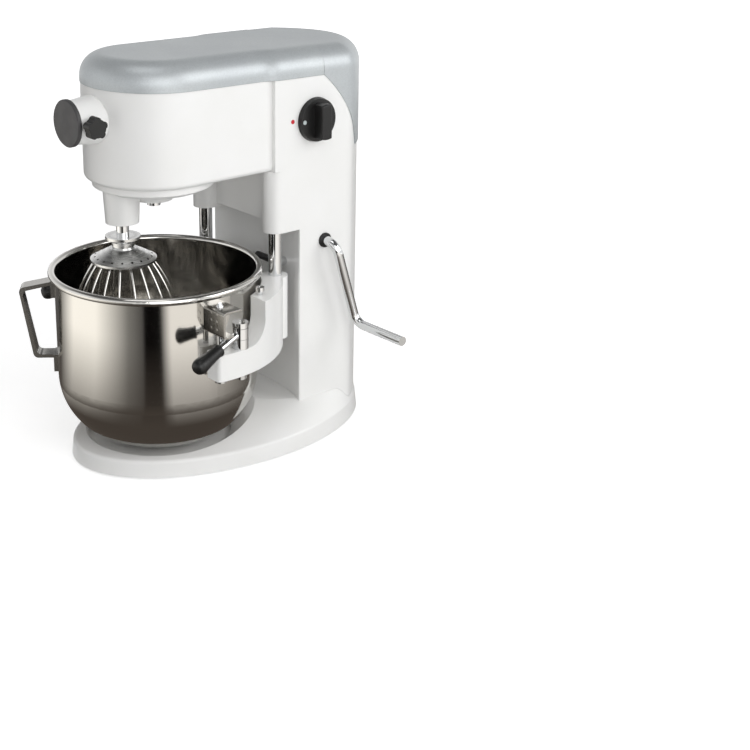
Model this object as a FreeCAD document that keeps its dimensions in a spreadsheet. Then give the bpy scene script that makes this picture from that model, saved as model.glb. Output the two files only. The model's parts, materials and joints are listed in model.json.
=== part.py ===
import FreeCAD, Part
import math
import os
import re

import Sketcher

# Bowl-lift stand mixer: an oval base, a column with a head, a planetary whisk, a bowl on a crank-lifted yoke.
# Millimetres, +Z up, front towards -Y. Places are measured from the bowl's axis on the table, and every piece
# is then set back so that the origin lies under the middle of the whole machine.

Vec = FreeCAD.Vector

SIZES = {
    # Oval base
    "foot_height": 3,
    "foot_radius": 12,
    "foot_stem_radius": 4,
    "foot_stem_length": 6,
    "foot_front_x": 60,
    "foot_front_reach": 42,
    "foot_rear_x": 48,
    "foot_rear_reach": 218,
    "base_half_length": 190,
    "base_half_width": 118,
    "base_centre_back": 84.5,
    "skirt_top": 22,
    "skirt_draft": 2,
    "skirt_round": 4,
    "crown_rise": 23,
    "crown_half_width": 82,
    "crown_half_length": 88,
    "crown_back_inset": 6,
    "base_wall": 7,
    "recess_radius": 82,
    "recess_floor": 16,
    "recess_floor_thickness": 4,
    "plate_thickness": 1.5,
    "plate_clearance": 0.3,
    "screw_radius": 2,
    "screw_head_radius": 4,
    "screw_head_height": 1.6,
    "screw_length": 6,
    "screw_spread": 94,
    "screw_front_y": 30,
    "screw_rear_y": 130,
    # Column
    "column_front": 142,
    "column_inset": 2,
    "column_wall": 5,
    "channel_depth": 13,
    "cheek_width": 2.5,
    "corner_round": 25,
    "shoulder_bottom": 252,
    "web_bottom": 257,
    "web_front": 124,
    "web_thickness": 6,
    # Guide rods of the bowl lift
    "rod_x": 66,
    "rod_y": 118,
    "rod_radius": 7.8,
    "rod_guide_length": 54,
    "guide_boss_radius": 14.4,
    "bush_wall": 3,
    "running_clearance": 0.05,
    "seat_clearance": 0.02,
    # How far cutting tools run past a face, and small allowances
    "tool_over": 1,
    "tool_far": 10,
    "tool_deep": 40,
    "rim_over": 5,
    "hole_end_gap": 0.5,
    "boss_wall": 5,
    "screw_boss_wall": 4,
    "foot_chamfer": 1,
    "web_side_gap": 2,
    "web_sill": 5,
    "hub_cap_chamfer": 1,
    "belt_sink": 1,
    "shaft_end": 4,
    "handle_root": 5,
    "knob_taper": 1,
    "grip_flare": 1,
    # Head
    "head_half_width": 75.4,
    "head_bottom": 323.5,
    "head_wall": 4,
    "head_floor": 5,
    "head_round": 6,
    "head_height": 106.5,
    "head_seam": 107,
    # Top cover and rear cover
    "seam_fall": 6.5,
    "cover_split": 176,
    "cover_rise": 31,
    "cover_fall": 7,
    "rear_fall": 4,
    "cover_overhang": 0.6,
    "cover_thickness": 3,
    "cover_round": 25,
    "cover_taper_front": 92,
    "cover_taper_rear": 118,
    "cover_joint": 0.3,
    "rear_drop_back": 229,
    "rear_drop_height": 336,
    "rear_drop_radius": 155,
    "rear_lip": 1.5,
    # Straight-sided gear teeth, in modules and in shares of the tooth spacing
    "gear_module": 2,
    "tooth_addendum": 0.8,
    "tooth_dedendum": 1.1,
    "tooth_tip": 0.14,
    "tooth_root": 0.3,
    "space_root": 0.22,
    "space_mouth": 0.34,
    # Planetary drive
    "ring_teeth": 58,
    "planet_teeth": 16,
    "gear_width": 11,
    "ring_rim": 8,
    "carrier_radius": 67,
    "carrier_gap": 0.6,
    "carrier_thickness": 7.4,
    "carrier_step": 5,
    "carrier_hub_radius": 26,
    "carrier_hub_bottom": 296,
    "planet_housing_top_radius": 20.5,
    "planet_housing_bottom_radius": 18.4,
    "planet_housing_bottom": 277,
    "main_shaft_radius": 10,
    "main_shaft_bottom": 303,
    "carrier_bolt_radius": 4,
    "carrier_bolt_head": 7.3,
    "carrier_bolt_head_height": 7,
    "bolt_depth": 10,
    "gear_end_gap": 1,
    "bearing_width": 8,
    "bearing_wall": 6,
    "bridge_thickness": 6,
    "bridge_boss_radius": 22,
    "bridge_boss_height": 24,
    "shaft_radius": 7,
    "shaft_bottom": 228,
    "collar_radius": 19.5,
    "collar_thickness": 3,
    "collar_height": 259,
    # Whisk
    "bush_radius": 12.4,
    "bush_top": 255,
    "bush_bottom": 236,
    "bush_groove": 1.6,
    "cap_top_radius": 15,
    "cap_radius": 36.5,
    "cap_top": 248,
    "cap_bottom": 234,
    "cap_rim": 2.5,
    "wire_loops": 9,
    "wire_radius": 1.1,
    "wire_gap": 0.4,
    "wire_top_radius": 31,
    "whisk_radius": 61,
    "whisk_bottom": 74,
    # Attachment hub
    "hub_reach": 103,
    "hub_front_radius": 23,
    "hub_root_radius": 26,
    "hub_root_reach": 60,
    "hub_root_end": 78,
    "hub_bore_radius": 16,
    "hub_mouth_radius": 19,
    "hub_mouth_depth": 6,
    "hub_drive_reach": 56,
    "hub_tail_reach": 38,
    "hub_tail_radius": 20,
    "hub_shaft_radius": 6,
    "hub_shaft_tail": 17,
    "hub_dog_radius": 9,
    "hub_dog_length": 8,
    "hub_dog_square": 9,
    "hub_cap_radius": 25.3,
    "hub_cap_thickness": 4.5,
    "hub_cap_gap": 0.3,
    "star_reach": 94,
    "star_radius": 12,
    "star_lobes": 5,
    "star_lobe_radius": 4.2,
    "star_thickness": 11,
    "star_stand_off": 4,
    "star_screw_radius": 3,
    # Bevel gears and belt
    "bevel_radius": 34,
    "bevel_inner_radius": 22,
    "bevel_pinion_radius": 18,
    "bevel_gap": 0.4,
    "bevel_back": 6.8,
    "pulley_radius": 58,
    "motor_pulley_radius": 18,
    "pulley_gap": 10.3,
    "pulley_width": 14,
    "pulley_flange": 2,
    "belt_thickness": 3,
    "belt_width": 9,
    "belt_gap": 0.3,
    # Motor
    "motor_y": 198,
    "motor_radius": 44,
    "motor_bottom": 300,
    "motor_length": 92,
    "motor_shaft_radius": 6,
    "motor_cap_height": 6,
    "bracket_thickness": 4,
    # Lift: yoke, rack and crank
    "lift_travel": 46,
    "yoke_bottom": 126,
    "yoke_arm_top": 156,
    "yoke_top": 200,
    "yoke_inner_radius": 118,
    "yoke_outer_radius": 142,
    "yoke_arm_end": 18,
    "yoke_leg_front": 52,
    "yoke_leg_curve": 25,
    "yoke_sleeve_radius": 14,
    "yoke_bridge_thickness": 12,
    "yoke_bridge_bottom": 140,
    "yoke_bridge_top": 192,
    "yoke_round": 4,
    "rod_socket_floor": 12,
    "rack_x": -22,
    "rack_half_width": 8,
    "rack_foot_bottom": 142,
    "rack_foot_top": 150,
    "rack_top": 243,
    "rack_thickness": 9,
    "rack_bottom": 180,
    "slot_clearance": 2,
    "crank_y": 178.4,
    "crank_z": 232.8,
    "lift_pinion_teeth": 16,
    "lift_pinion_width": 15,
    "crank_radius": 5.5,
    "crank_stand_off": 20,
    "crank_back": 32,
    "crank_drop": 102,
    "crank_grip": 80,
    "crank_bend": 14,
    "crank_bush_radius": 8.5,
    "crank_bush_proud": 2,
    "crank_boss_length": 14,
    "bush_shoulder": 1.5,
    # Bowl
    "bowl_radius": 113,
    "bowl_wall": 1.6,
    "bowl_bottom": 20,
    "bowl_rim_top": 219,
    "bowl_corner": 76,
    "rim_bead_radius": 4.2,
    "lug_thickness": 2.5,
    "lug_reach": 35,
    "lug_front": 16,
    "lug_depth": 24,
    "lug_top": 206,
    "lug_height": 30,
    "lug_hole_clearance": 0.3,
    "pin_radius": 4,
    "pin_reach": 129,
    "pin_front": 7,
    "pin_above_lug": 5,
    "nut_radius": 6.5,
    "nut_height": 5,
    "rim_stop_back": 62,
    "rim_stop_radius": 3,
    "rim_stop_head": 5,
    "rim_stop_height": 9,
    "rim_stop_depth": 8,
    # Bowl handle
    "handle_angle": 233,
    "handle_width": 20,
    "handle_thickness": 4,
    "handle_top": 203,
    "handle_top_reach": 151,
    "handle_top_drop": 9,
    "handle_bottom": 115,
    "handle_bottom_reach": 137,
    "handle_bend": 6,
    "handle_pad": 18,
    # Clamp levers
    "clamp_inset": 9,
    "clamp_back": 17,
    "clamp_stud_radius": 5,
    "clamp_washer_radius": 9,
    "clamp_washer_height": 11,
    "clamp_hub_radius": 9,
    "clamp_hub_height": 12,
    "clamp_nut_height": 6,
    "clamp_gap": 0.3,
    "clamp_lever_radius": 4,
    "clamp_lever_out": 20,
    "clamp_lever_forward": 70,
    "clamp_lever_drop": 17,
    "clamp_grip_radius": 9,
    "clamp_grip_start": 38,
    "clamp_grip_length": 42,
    "clamp_grip_neck": 7.5,
    # Lock lever on the column's front
    "lock_x": 42,
    "lock_y": 141,
    "lock_z": 204,
    "lock_hub_radius": 6,
    "lock_hub_length": 8,
    "lock_stud_radius": 3,
    "lock_shoulder_radius": 5,
    "lock_arm_radius": 2.5,
    "lock_grip_radius": 4,
    "lock_grip_length": 34,
    "lock_head_height": 3,
    # Controls and electrics
    "knob_y": 163.7,
    "knob_z": 375.5,
    "knob_radius": 25,
    "knob_skirt": 6,
    "knob_grip_height": 15,
    "knob_grip_radius": 20,
    "knob_grip_width": 14,
    "knob_round": 2,
    "knob_gap": 0.4,
    "knob_stem_radius": 3,
    "knob_mark_radius": 2.4,
    "knob_mark_height": 0.4,
    "index_back": 131.6,
    "index_z": 377,
    "switch_width": 30,
    "switch_height": 34,
    "switch_depth": 20,
    "switch_neck_radius": 5,
    "board_width": 46,
    "board_height": 110,
    "board_bottom": 60,
    "board_front": 164,
    "board_thickness": 1.6,
    "board_standoff": 6,
    "standoff_radius": 3,
    "capacitor_radius": 9,
    "capacitor_length": 28,
    "gland_height": 62,
    "gland_radius": 10,
    "gland_bore": 4,
    "gland_proud": 6,
}

# Values that follow from the sizes above
DERIVED = {
    "plate_top": "foot_height + plate_thickness",
    "cavity_top": "recess_floor - recess_floor_thickness",
    "crown_top": "skirt_top + crown_rise",
    "crown_centre_back": "base_centre_back + base_half_length - skirt_draft - crown_half_length"
                         " - crown_back_inset",
    "column_half_width": "rod_x + guide_boss_radius",
    "column_semi_x": "base_half_width - skirt_draft - column_inset",
    "column_semi_y": "base_half_length - skirt_draft - column_inset",
    "column_back": "base_centre_back + column_semi_y",
    "channel_half_width": "column_half_width - cheek_width",
    "channel_radius": "(channel_half_width ^ 2 + channel_depth ^ 2) / (2 * channel_depth)",
    "channel_back": "column_front + channel_depth",
    "column_cavity_front": "channel_back + column_wall",
    "seam_front": "head_bottom + head_height",
    "seam_rear": "seam_front - seam_fall",
    "top_front": "seam_front + cover_rise",
    "top_split": "top_front - cover_fall",
    "top_rear": "top_split - rear_fall",
    "column_ceiling": "top_front + cover_rise",
    "taper_middle": "(cover_taper_front + cover_taper_rear) / 2",
    "taper_step": "column_half_width - head_half_width",
    "taper_radius": "(taper_step ^ 2 + (cover_taper_rear - cover_taper_front) ^ 2) / (4 * taper_step)",
    "head_floor_top": "head_bottom + head_floor",
    "bush_outer": "rod_radius + running_clearance + bush_wall",
    "bridge_outer_radius": "yoke_inner_radius + yoke_bridge_thickness",
    "tongue_front": "yoke_inner_radius + yoke_bridge_thickness / 3",
    "rod_bottom": "yoke_bottom + rod_socket_floor",
    "rim_stop_reach": "sqrt((yoke_inner_radius + rim_stop_head + rim_stop_radius) ^ 2 - rim_stop_back ^ 2)",
    "rod_top": "shoulder_bottom + rod_guide_length",
    "eccentric": "gear_module * (ring_teeth - planet_teeth) / 2",
    "ring_outer": "gear_module * ring_teeth / 2 + ring_rim",
    "ring_top": "head_floor_top + gear_width",
    "bridge_top": "ring_top + bridge_thickness",
    "bridge_boss_top": "bridge_top + bridge_boss_height",
    "beater_shaft_top": "ring_top - gear_end_gap",
    "hub_dog_reach": "hub_drive_reach - hub_dog_length",
    "carrier_top": "head_bottom - carrier_gap",
    "carrier_bottom": "carrier_top - carrier_thickness",
    "planet_bearing_radius": "shaft_radius + bearing_wall",
    "main_bearing_radius": "main_shaft_radius + bearing_wall",
    "bevel_rise": "bevel_pinion_radius / bevel_radius",
    "bevel_bottom": "bridge_boss_top + gear_end_gap + bevel_back",
    "hub_height": "bevel_bottom + bevel_gap + bevel_pinion_radius",
    "pulley_bottom": "hub_height + bevel_pinion_radius + pulley_gap",
    "pulley_top": "pulley_bottom + pulley_width",
    "pulley_groove": "pulley_bottom + pulley_width / 2",
    "main_shaft_top": "pulley_top + shaft_end",
    "motor_top": "motor_bottom + motor_length",
    "lift_pinion_radius": "gear_module * lift_pinion_teeth / 2",
    "rack_pitch": "crank_y + lift_pinion_radius",
    "rack_back": "rack_pitch + 1.1 * gear_module + rack_thickness",
    "crank_plane": "column_half_width + crank_stand_off",
    "crank_inner_end": "crank_boss_length / 2 - column_half_width + column_wall",
    "bead_drop": "sqrt(bowl_wall * (2 * rim_bead_radius - bowl_wall))",
    "pin_top": "lug_top + pin_above_lug",
    "clamp_reach": "yoke_outer_radius - clamp_inset",
    "clamp_base": "yoke_arm_top + clamp_washer_height",
    "clamp_hub_top": "clamp_base + clamp_gap + clamp_hub_height",
    "clamp_lever_height": "clamp_base + clamp_gap + clamp_hub_height / 2",
    "right_reach": "crank_plane + crank_grip",
    "left_reach": "clamp_reach + clamp_lever_out + clamp_grip_radius + grip_flare",
    "front_reach": "handle_top_reach * 0.8 + handle_width * 0.3",
    "rear_reach": "column_back + gland_proud",
    "axis_x": "(left_reach - right_reach) / 2",
    "axis_y": "(front_reach - rear_reach) / 2",
}

doc = FreeCAD.newDocument("stand_mixer")
dim = doc.addObject("Spreadsheet::Sheet", "dim")
for row, (size_name, size_value) in enumerate(SIZES.items(), start=1):
    dim.set(f"A{row}", size_name)
    dim.set(f"B{row}", str(size_value))
    dim.setAlias(f"B{row}", size_name)
doc.recompute()

nodes = {}
places = {}


def ex(text):
    """Spell out a size expression: sizes become sheet cells and derived names their own expressions."""
    def swap(match):
        word = match.group(0)
        if word in DERIVED:
            return "(" + ex(DERIVED[word]) + ")"
        return "dim." + word if word in SIZES else word
    return re.sub(r"[a-z_]+[a-z0-9_]*", swap, str(text))


def num(text):
    """The number that a size expression gives now."""
    return float(dim.evalExpression(ex(text)))


TURNS = {
    "z": FreeCAD.Rotation(),
    "x": FreeCAD.Rotation(Vec(0, 1, 0), 90),
    "-x": FreeCAD.Rotation(Vec(0, 1, 0), -90),
    "y": FreeCAD.Rotation(Vec(1, 0, 0), -90),
    "-y": FreeCAD.Rotation(Vec(1, 0, 0), 90),
}


def at(part, x="0", y="0", z="0", along="z"):
    """Set a piece down at a place, with its own Z axis turned along the named direction."""
    turn = TURNS[along] if isinstance(along, str) else along
    part.Placement = FreeCAD.Placement(Vec(), turn)
    places[part.Name] = (x, y, z)
    for axis, value in zip("xyz", (x, y, z)):
        part.setExpression(f"Placement.Base.{axis}", ex(value))
    return part


def make(kind, **sizes):
    """A document object whose sizes are bound to the sheet."""
    part = doc.addObject(kind, kind.split("::")[1])
    for name, value in sizes.items():
        part.setExpression(name, ex(value))
    return part


def cylinder(radius, length, x="0", y="0", z="0", along="z"):
    return at(make("Part::Cylinder", Radius=radius, Height=length), x, y, z, along)


def cone(radius1, radius2, length, x="0", y="0", z="0", along="z"):
    return at(make("Part::Cone", Radius1=radius1, Radius2=radius2, Height=length), x, y, z, along)


def block(x1, x2, y1, y2, z1, z2):
    box = make("Part::Box", Length=f"({x2}) - ({x1})", Width=f"({y2}) - ({y1})", Height=f"({z2}) - ({z1})")
    return at(box, x1, y1, z1)


def ellipse(semi_x, semi_y, y, z):
    """A flat oval whose long way runs front to back."""
    return at(make("Part::Ellipse", MajorRadius=semi_y, MinorRadius=semi_x), "0", y, z,
              FreeCAD.Rotation(Vec(0, 0, 1), 90))


def oval_prism(semi_x, semi_y, y, z1, z2):
    part = make("Part::Extrusion", LengthFwd=f"({z2}) - ({z1})")
    part.Base = ellipse(semi_x, semi_y, y, z1)
    part.DirMode = "Custom"
    part.Dir = Vec(0, 0, 1)
    part.Solid = True
    return part


def oval_loft(lower, upper):
    part = doc.addObject("Part::Loft", "Loft")
    part.Sections = [lower, upper]
    part.Solid = True
    part.Ruled = True
    return part


def fuse(*parts):
    part = doc.addObject("Part::MultiFuse", "Fuse")
    part.Shapes = list(parts)
    part.Refine = True
    return part


def cut(base, *tools):
    part = doc.addObject("Part::Cut", "Cut")
    part.Base = base
    part.Tool = tools[0] if len(tools) == 1 else group(tools)
    part.Refine = True
    return part


def common(base, tool):
    part = doc.addObject("Part::Common", "Common")
    part.Base = base
    part.Tool = tool
    part.Refine = True
    return part


def group(parts):
    part = doc.addObject("Part::Compound", "Group")
    part.Links = list(parts)
    return part


def rounded(base, radius, pick):
    """Round the edges of a piece that pick chooses by their shape and place."""
    doc.recompute()
    size = num(radius)
    part = doc.addObject("Part::Fillet", "Fillet")
    part.Base = base
    part.Edges = [(i, size, size) for i, edge in enumerate(base.Shape.Edges, start=1) if pick(edge)]
    return part


def flat_at(edge, height, tolerance=1e-4):
    return abs(edge.BoundBox.ZMin - height) < tolerance and abs(edge.BoundBox.ZMax - height) < tolerance


def upright(edge):
    box = edge.BoundBox
    return box.ZLength > 1 and box.XLength < 1e-4 and box.YLength < 1e-4


def sketch_outline(body, plane, points):
    """A closed outline on one of the body's own planes.

    Each point is (across, up) or (across, up, radius): a radius makes the stretch that starts there an arc,
    bulging to the right of the way for a positive radius and to the left for a negative one."""
    sketch = body.newObject("Sketcher::SketchObject", "Outline")
    sketch.AttachmentSupport = [(next(f for f in body.Origin.OriginFeatures if f.Role == plane), "")]
    sketch.MapMode = "FlatFace"
    spots = [Vec(num(p[0]), num(p[1]), 0) for p in points]
    starts = []
    for i, point in enumerate(points):
        here, there = spots[i], spots[(i + 1) % len(spots)]
        if len(point) == 2:
            sketch.addGeometry(Part.LineSegment(here, there), False)
        else:
            radius = num(point[2])
            run = there - here
            side = Vec(-run.y, run.x, 0).normalize() * math.copysign(1, radius)
            centre = (here + there) * 0.5 + side * math.sqrt(max(radius ** 2 - (run.Length / 2) ** 2, 0))
            angles = [math.atan2(spot.y - centre.y, spot.x - centre.x) for spot in (here, there)]
            if radius < 0:
                angles.reverse()
            ring = Part.Circle(centre, Vec(0, 0, 1), abs(radius))
            sketch.addGeometry(Part.ArcOfCircle(ring, *angles), False)
        starts.append(2 if len(point) == 3 and num(point[2]) < 0 else 1)
    for i in range(len(points)):
        after = (i + 1) % len(points)
        sketch.addConstraint(Sketcher.Constraint("Coincident", i, 3 - starts[i], after, starts[after]))
    for i, point in enumerate(points):
        for kind, value in zip(("DistanceX", "DistanceY"), point):
            row = sketch.addConstraint(Sketcher.Constraint(kind, -1, 1, i, starts[i], num(value)))
            sketch.setExpression(f"Constraints[{row}]", ex(value))
        if len(point) == 3:
            row = sketch.addConstraint(Sketcher.Constraint("Radius", i, abs(num(point[2]))))
            sketch.setExpression(f"Constraints[{row}]", f"abs({ex(point[2])})")
    return sketch


def turned(points, x="0", y="0", z="0", along="z"):
    """A turned piece: an outline of (radius, height) points swung round the body's own Z axis."""
    body = doc.addObject("PartDesign::Body", "Turned")
    sketch = sketch_outline(body, "XZ_Plane", points)
    spin = body.newObject("PartDesign::Revolution", "Revolution")
    spin.Profile = sketch
    spin.ReferenceAxis = (sketch, ["V_Axis"])
    spin.Angle = 360
    body.Tip = spin
    return at(body, x, y, z, along)


def padded(points, plane, length, z="0", both_ways=False):
    """A plate: an outline on one plane made solid along that plane's normal."""
    body = doc.addObject("PartDesign::Body", "Padded")
    sketch = sketch_outline(body, plane, points)
    pad = body.newObject("PartDesign::Pad", "Pad")
    pad.Profile = sketch
    pad.setExpression("Length", ex(length))
    pad.Midplane = both_ways
    return at(body, "0", "0", z)


def shaped(shape):
    """A piece whose shape is worked out from the sheet's sizes by formula."""
    part = doc.addObject("Part::Feature", "Shaped")
    part.Shape = shape
    return at(part)


def node(label, part):
    """Name a finished piece and set it back from the bowl's axis to the machine's origin."""
    part.Label = label
    x, y, z = places.get(part.Name, ("0", "0", "0"))
    part.setExpression("Placement.Base.x", ex(f"({x}) + axis_x"))
    part.setExpression("Placement.Base.y", ex(f"({y}) + axis_y"))
    part.setExpression("Placement.Base.z", ex(z))
    nodes[label] = part
    return part


# Oval base: a drafted skirt, a crown that rises to the column and a round recess under the bowl

FEET = [("foot_front_x", "-foot_front_reach"), ("-foot_front_x", "-foot_front_reach"),
        ("foot_rear_x", "foot_rear_reach"), ("-foot_rear_x", "foot_rear_reach")]
PLATE_SCREWS = [(side + "screw_spread", y) for side in ("", "-") for y in ("screw_front_y", "screw_rear_y")]


def column_plan(grow, z1, z2):
    """The column's plan: straight sides, an oval back with soft corners and a hollow front."""
    oval = oval_prism(f"column_semi_x + {grow}", f"column_semi_y + {grow}", "base_centre_back", z1, z2)
    sides = block(f"-column_half_width - {grow}", f"column_half_width + {grow}",
                  f"column_front - {grow}", "column_back + tool_far", z1, z2)
    channel = cylinder(f"channel_radius - {grow}", f"({z2}) - ({z1})", "0",
                       "channel_back - channel_radius", z1)
    front = num("column_front") + num("channel_depth")
    return rounded(cut(common(oval, sides), channel), "corner_round",
                   lambda edge: (upright(edge) and edge.BoundBox.YMin > front
                                 and abs(edge.BoundBox.XMin) > num("tool_over")))


def base_casting():
    lower = ellipse("base_half_width", "base_half_length", "base_centre_back", "foot_height")
    upper = ellipse("base_half_width - skirt_draft", "base_half_length - skirt_draft",
                    "base_centre_back", "skirt_top")
    crown = ellipse("crown_half_width", "crown_half_length", "crown_centre_back", "crown_top")
    outside = rounded(fuse(oval_loft(lower, upper), oval_loft(upper, crown)), "skirt_round",
                      lambda edge: flat_at(edge, num("skirt_top")))
    hollow = oval_prism("base_half_width - base_wall", "base_half_length - base_wall",
                        "base_centre_back", "foot_height - tool_over", "cavity_top")
    recess = cylinder("recess_radius", "crown_top", z="recess_floor")
    bowl_way = cone("recess_radius", "bowl_radius", "crown_rise", z="skirt_top")
    shell = cut(outside, hollow, recess, bowl_way,
                column_plan("seat_clearance", "skirt_top", "crown_top + tool_over"))
    bosses = [cylinder("foot_stem_radius + boss_wall", "cavity_top - plate_top", x, y, "plate_top") for x,
              y in FEET]
    bosses += [cylinder("screw_radius + screw_boss_wall", "cavity_top - plate_top", x, y, "plate_top")
               for x, y in PLATE_SCREWS]
    holes = [cylinder("foot_stem_radius + seat_clearance", "foot_stem_length + hole_end_gap", x, y,
                      "foot_height")
             for x, y in FEET]
    holes += [cylinder("screw_radius + seat_clearance", "screw_length + hole_end_gap", x, y, "foot_height")
              for x, y in PLATE_SCREWS]
    return cut(fuse(shell, *bosses), *holes)


def base_plate():
    plate = oval_prism("base_half_width - base_wall - plate_clearance",
                       "base_half_length - base_wall - plate_clearance",
                       "base_centre_back", "foot_height", "plate_top")
    holes = [cylinder("foot_stem_radius + seat_clearance", "plate_top + tool_over", x, y) for x, y in FEET]
    holes += [cylinder("screw_radius + seat_clearance", "plate_top + tool_over", x, y) for x,
              y in PLATE_SCREWS]
    return cut(plate, *holes)


def rubber_feet():
    return group([fuse(cone("foot_radius - foot_chamfer", "foot_radius", "foot_height", x, y),
                       cylinder("foot_stem_radius", "foot_height + foot_stem_length", x, y))
                  for x, y in FEET])


def plate_screws():
    return group([fuse(cylinder("screw_head_radius", "screw_head_height", x, y,
                                "foot_height - screw_head_height"),
                       cylinder("screw_radius", "screw_length", x, y, "foot_height"))
                  for x, y in PLATE_SCREWS])


node("base_casting", base_casting())
node("base_plate", base_plate())
node("rubber_feet", rubber_feet())
node("plate_screws", plate_screws())


# Column, with shoulders that guide the lift rods, and the head in front of it

SIDES = ("", "-")


def cover_space(points_above):
    """Everything over the seam of the covers, seen from the side and carried right across."""
    seam = [("-head_half_width - tool_far", "seam_front"), ("cover_split", "seam_rear", "-rear_drop_radius"),
            ("rear_drop_back", "rear_drop_height"), ("column_back + 4 * tool_far", "rear_drop_height")]
    return padded(seam + points_above, "YZ_Plane", "4 * column_half_width", both_ways=True)


def open_sky():
    return cover_space([("column_back + 4 * tool_far", "column_ceiling + tool_far"),
                        ("-head_half_width - tool_far", "column_ceiling + tool_far")])


def column_cavity(shrink="0"):
    return common(oval_prism(f"column_semi_x - column_wall - {shrink}",
                             f"column_semi_y - column_wall - {shrink}",
                             "base_centre_back", "skirt_top - tool_over", "column_ceiling + tool_over"),
                  block(f"column_wall - column_half_width + {shrink}",
                        f"column_half_width - column_wall - {shrink}",
                        "column_cavity_front", "column_back", "skirt_top - tool_over",
                        "column_ceiling + tool_over"))


def column_housing():
    lower = column_plan("0", "skirt_top", "column_ceiling")
    upper = block("-column_half_width", "column_half_width", "head_seam", "column_cavity_front",
                  "head_bottom", "column_ceiling")
    web = block("-rod_x", "rod_x", "web_front", "column_cavity_front", "web_bottom", "head_bottom")
    shoulders = []
    bores = []
    for side in SIDES:
        shoulders.append(cylinder("guide_boss_radius", "head_bottom - shoulder_bottom",
                                  side + "rod_x", "rod_y", "shoulder_bottom"))
        shoulders.append(block(f"{side}rod_x - guide_boss_radius", f"{side}rod_x + guide_boss_radius",
                               "rod_y", "column_cavity_front", "shoulder_bottom", "head_bottom"))
        bores.append(cylinder("bush_outer + seat_clearance",
                              "head_floor_top - shoulder_bottom + 2 * tool_over",
                              side + "rod_x", "rod_y", "shoulder_bottom - tool_over"))
    behind_web = block("guide_boss_radius - rod_x + web_side_gap",
                       "rod_x - guide_boss_radius - web_side_gap",
                       "web_front + web_thickness", "column_cavity_front + tool_over",
                       "web_bottom + web_sill",
                       "head_floor_top + tool_over")
    head_way = block("column_wall - column_half_width", "column_half_width - column_wall",
                     "head_seam - tool_over", "column_cavity_front + tool_over", "head_floor_top",
                     "column_ceiling + tool_over")
    slot = block("rack_x - rack_half_width - slot_clearance", "rack_x + rack_half_width + slot_clearance",
                 "column_front - tool_over", "column_cavity_front + tool_over",
                 "rack_foot_bottom - slot_clearance",
                 "rack_foot_top + lift_travel + slot_clearance")
    crank_hole = cylinder("crank_bush_radius - bush_shoulder + seat_clearance",
                          "column_wall + 2 * tool_over",
                          "column_half_width - column_wall - tool_over", "crank_y", "crank_z", "x")
    knob_hole = cylinder("switch_neck_radius + seat_clearance", "column_wall + 2 * tool_over",
                         "column_half_width - column_wall - tool_over", "knob_y", "knob_z", "x")
    gland_hole = cylinder("gland_radius - bush_shoulder + seat_clearance", "column_wall + 4", "0",
                          "column_back - column_wall - 2 * tool_over", "gland_height", "y")
    lock_hole = cylinder("lock_stud_radius + seat_clearance", "tool_deep", "lock_x", "lock_y", "lock_z", "y")
    crank_boss = cut(cylinder("crank_radius + bush_wall", "crank_boss_length",
                              "column_wall - column_half_width",
                              "crank_y", "crank_z", "x"),
                     cylinder("crank_radius + running_clearance", "crank_boss_length",
                              "crank_inner_end - gear_end_gap",
                              "crank_y", "crank_z", "x"))
    shell = cut(fuse(lower, upper, web, *shoulders), column_cavity(), behind_web, head_way, slot,
                crank_hole, knob_hole, gland_hole, lock_hole, open_sky(), *bores)
    return fuse(shell, crank_boss)


def pill(inset, back, z1, z2):
    """The head's plan: a half round about the bowl's axis with straight sides behind it."""
    radius = f"head_half_width - {inset}"
    return fuse(cylinder(radius, f"({z2}) - ({z1})", z=z1),
                block(f"-({radius})", radius, "0", back, z1, z2))


def head_housing():
    seam = num("head_seam")
    outside = rounded(pill("0", "head_seam", "head_bottom", "column_ceiling"), "head_round",
                      lambda edge: flat_at(edge, num("head_bottom")) and edge.BoundBox.YMin < seam - 1)
    inside = pill("head_wall", "head_seam + tool_over", "head_floor_top", "column_ceiling + tool_over")
    mouth = cylinder("gear_module * ring_teeth / 2 + gear_module", "head_floor + 2 * tool_over",
                     z="head_bottom - tool_over")
    hub_hole = cylinder("hub_root_radius + seat_clearance", "tool_deep", "0", "-50", "hub_height", "-y")
    return cut(outside, inside, mouth, hub_hole, open_sky())


node("column_housing", column_housing())
node("head_housing", head_housing())


# Covers: a long top cover over head and column, and a rear cover that hangs down behind the column

def cover_solid(inset, depth):
    """A solid of the top cover, inset on every side; its rim follows the seam when depth is 0."""
    narrow = f"head_half_width + cover_overhang - {inset}"
    wide = f"column_half_width + cover_overhang - {inset}"
    middle = f"({narrow} + {wide}) / 2"
    plan = padded([(wide, f"cover_split + {depth}"), (wide, "cover_taper_rear", "-taper_radius"),
                   (middle, "taper_middle", "taper_radius"), (narrow, "cover_taper_front"),
                   (narrow, "0", f"-({narrow})"), ("0", f"-({narrow})", f"-({narrow})"),
                   (f"-({narrow})", "0"),
                   (f"-({narrow})", "cover_taper_front", "taper_radius"),
                   (f"-({middle})", "taper_middle", "-taper_radius"), (f"-({wide})", "cover_taper_rear"),
                   (f"-({wide})", f"cover_split + {depth}")],
                  "XY_Plane", "top_front", "seam_rear - 2 * tool_far")
    side = padded([("-head_half_width - tool_far", f"seam_front - {depth}"),
                   ("cover_split + tool_far", f"seam_rear - {depth}"),
                   ("cover_split + tool_far", f"top_split - {inset}"),
                   ("-head_half_width - tool_far", f"top_front - {inset}")],
                  "YZ_Plane", "4 * column_half_width", both_ways=True)
    split = num("cover_split") - 1
    lowest = num("top_split") - num("cover_thickness") - 1
    return rounded(common(plan, side), f"cover_round - {inset}",
                   lambda edge: edge.BoundBox.ZMin > lowest and edge.BoundBox.YMin < split)


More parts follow.
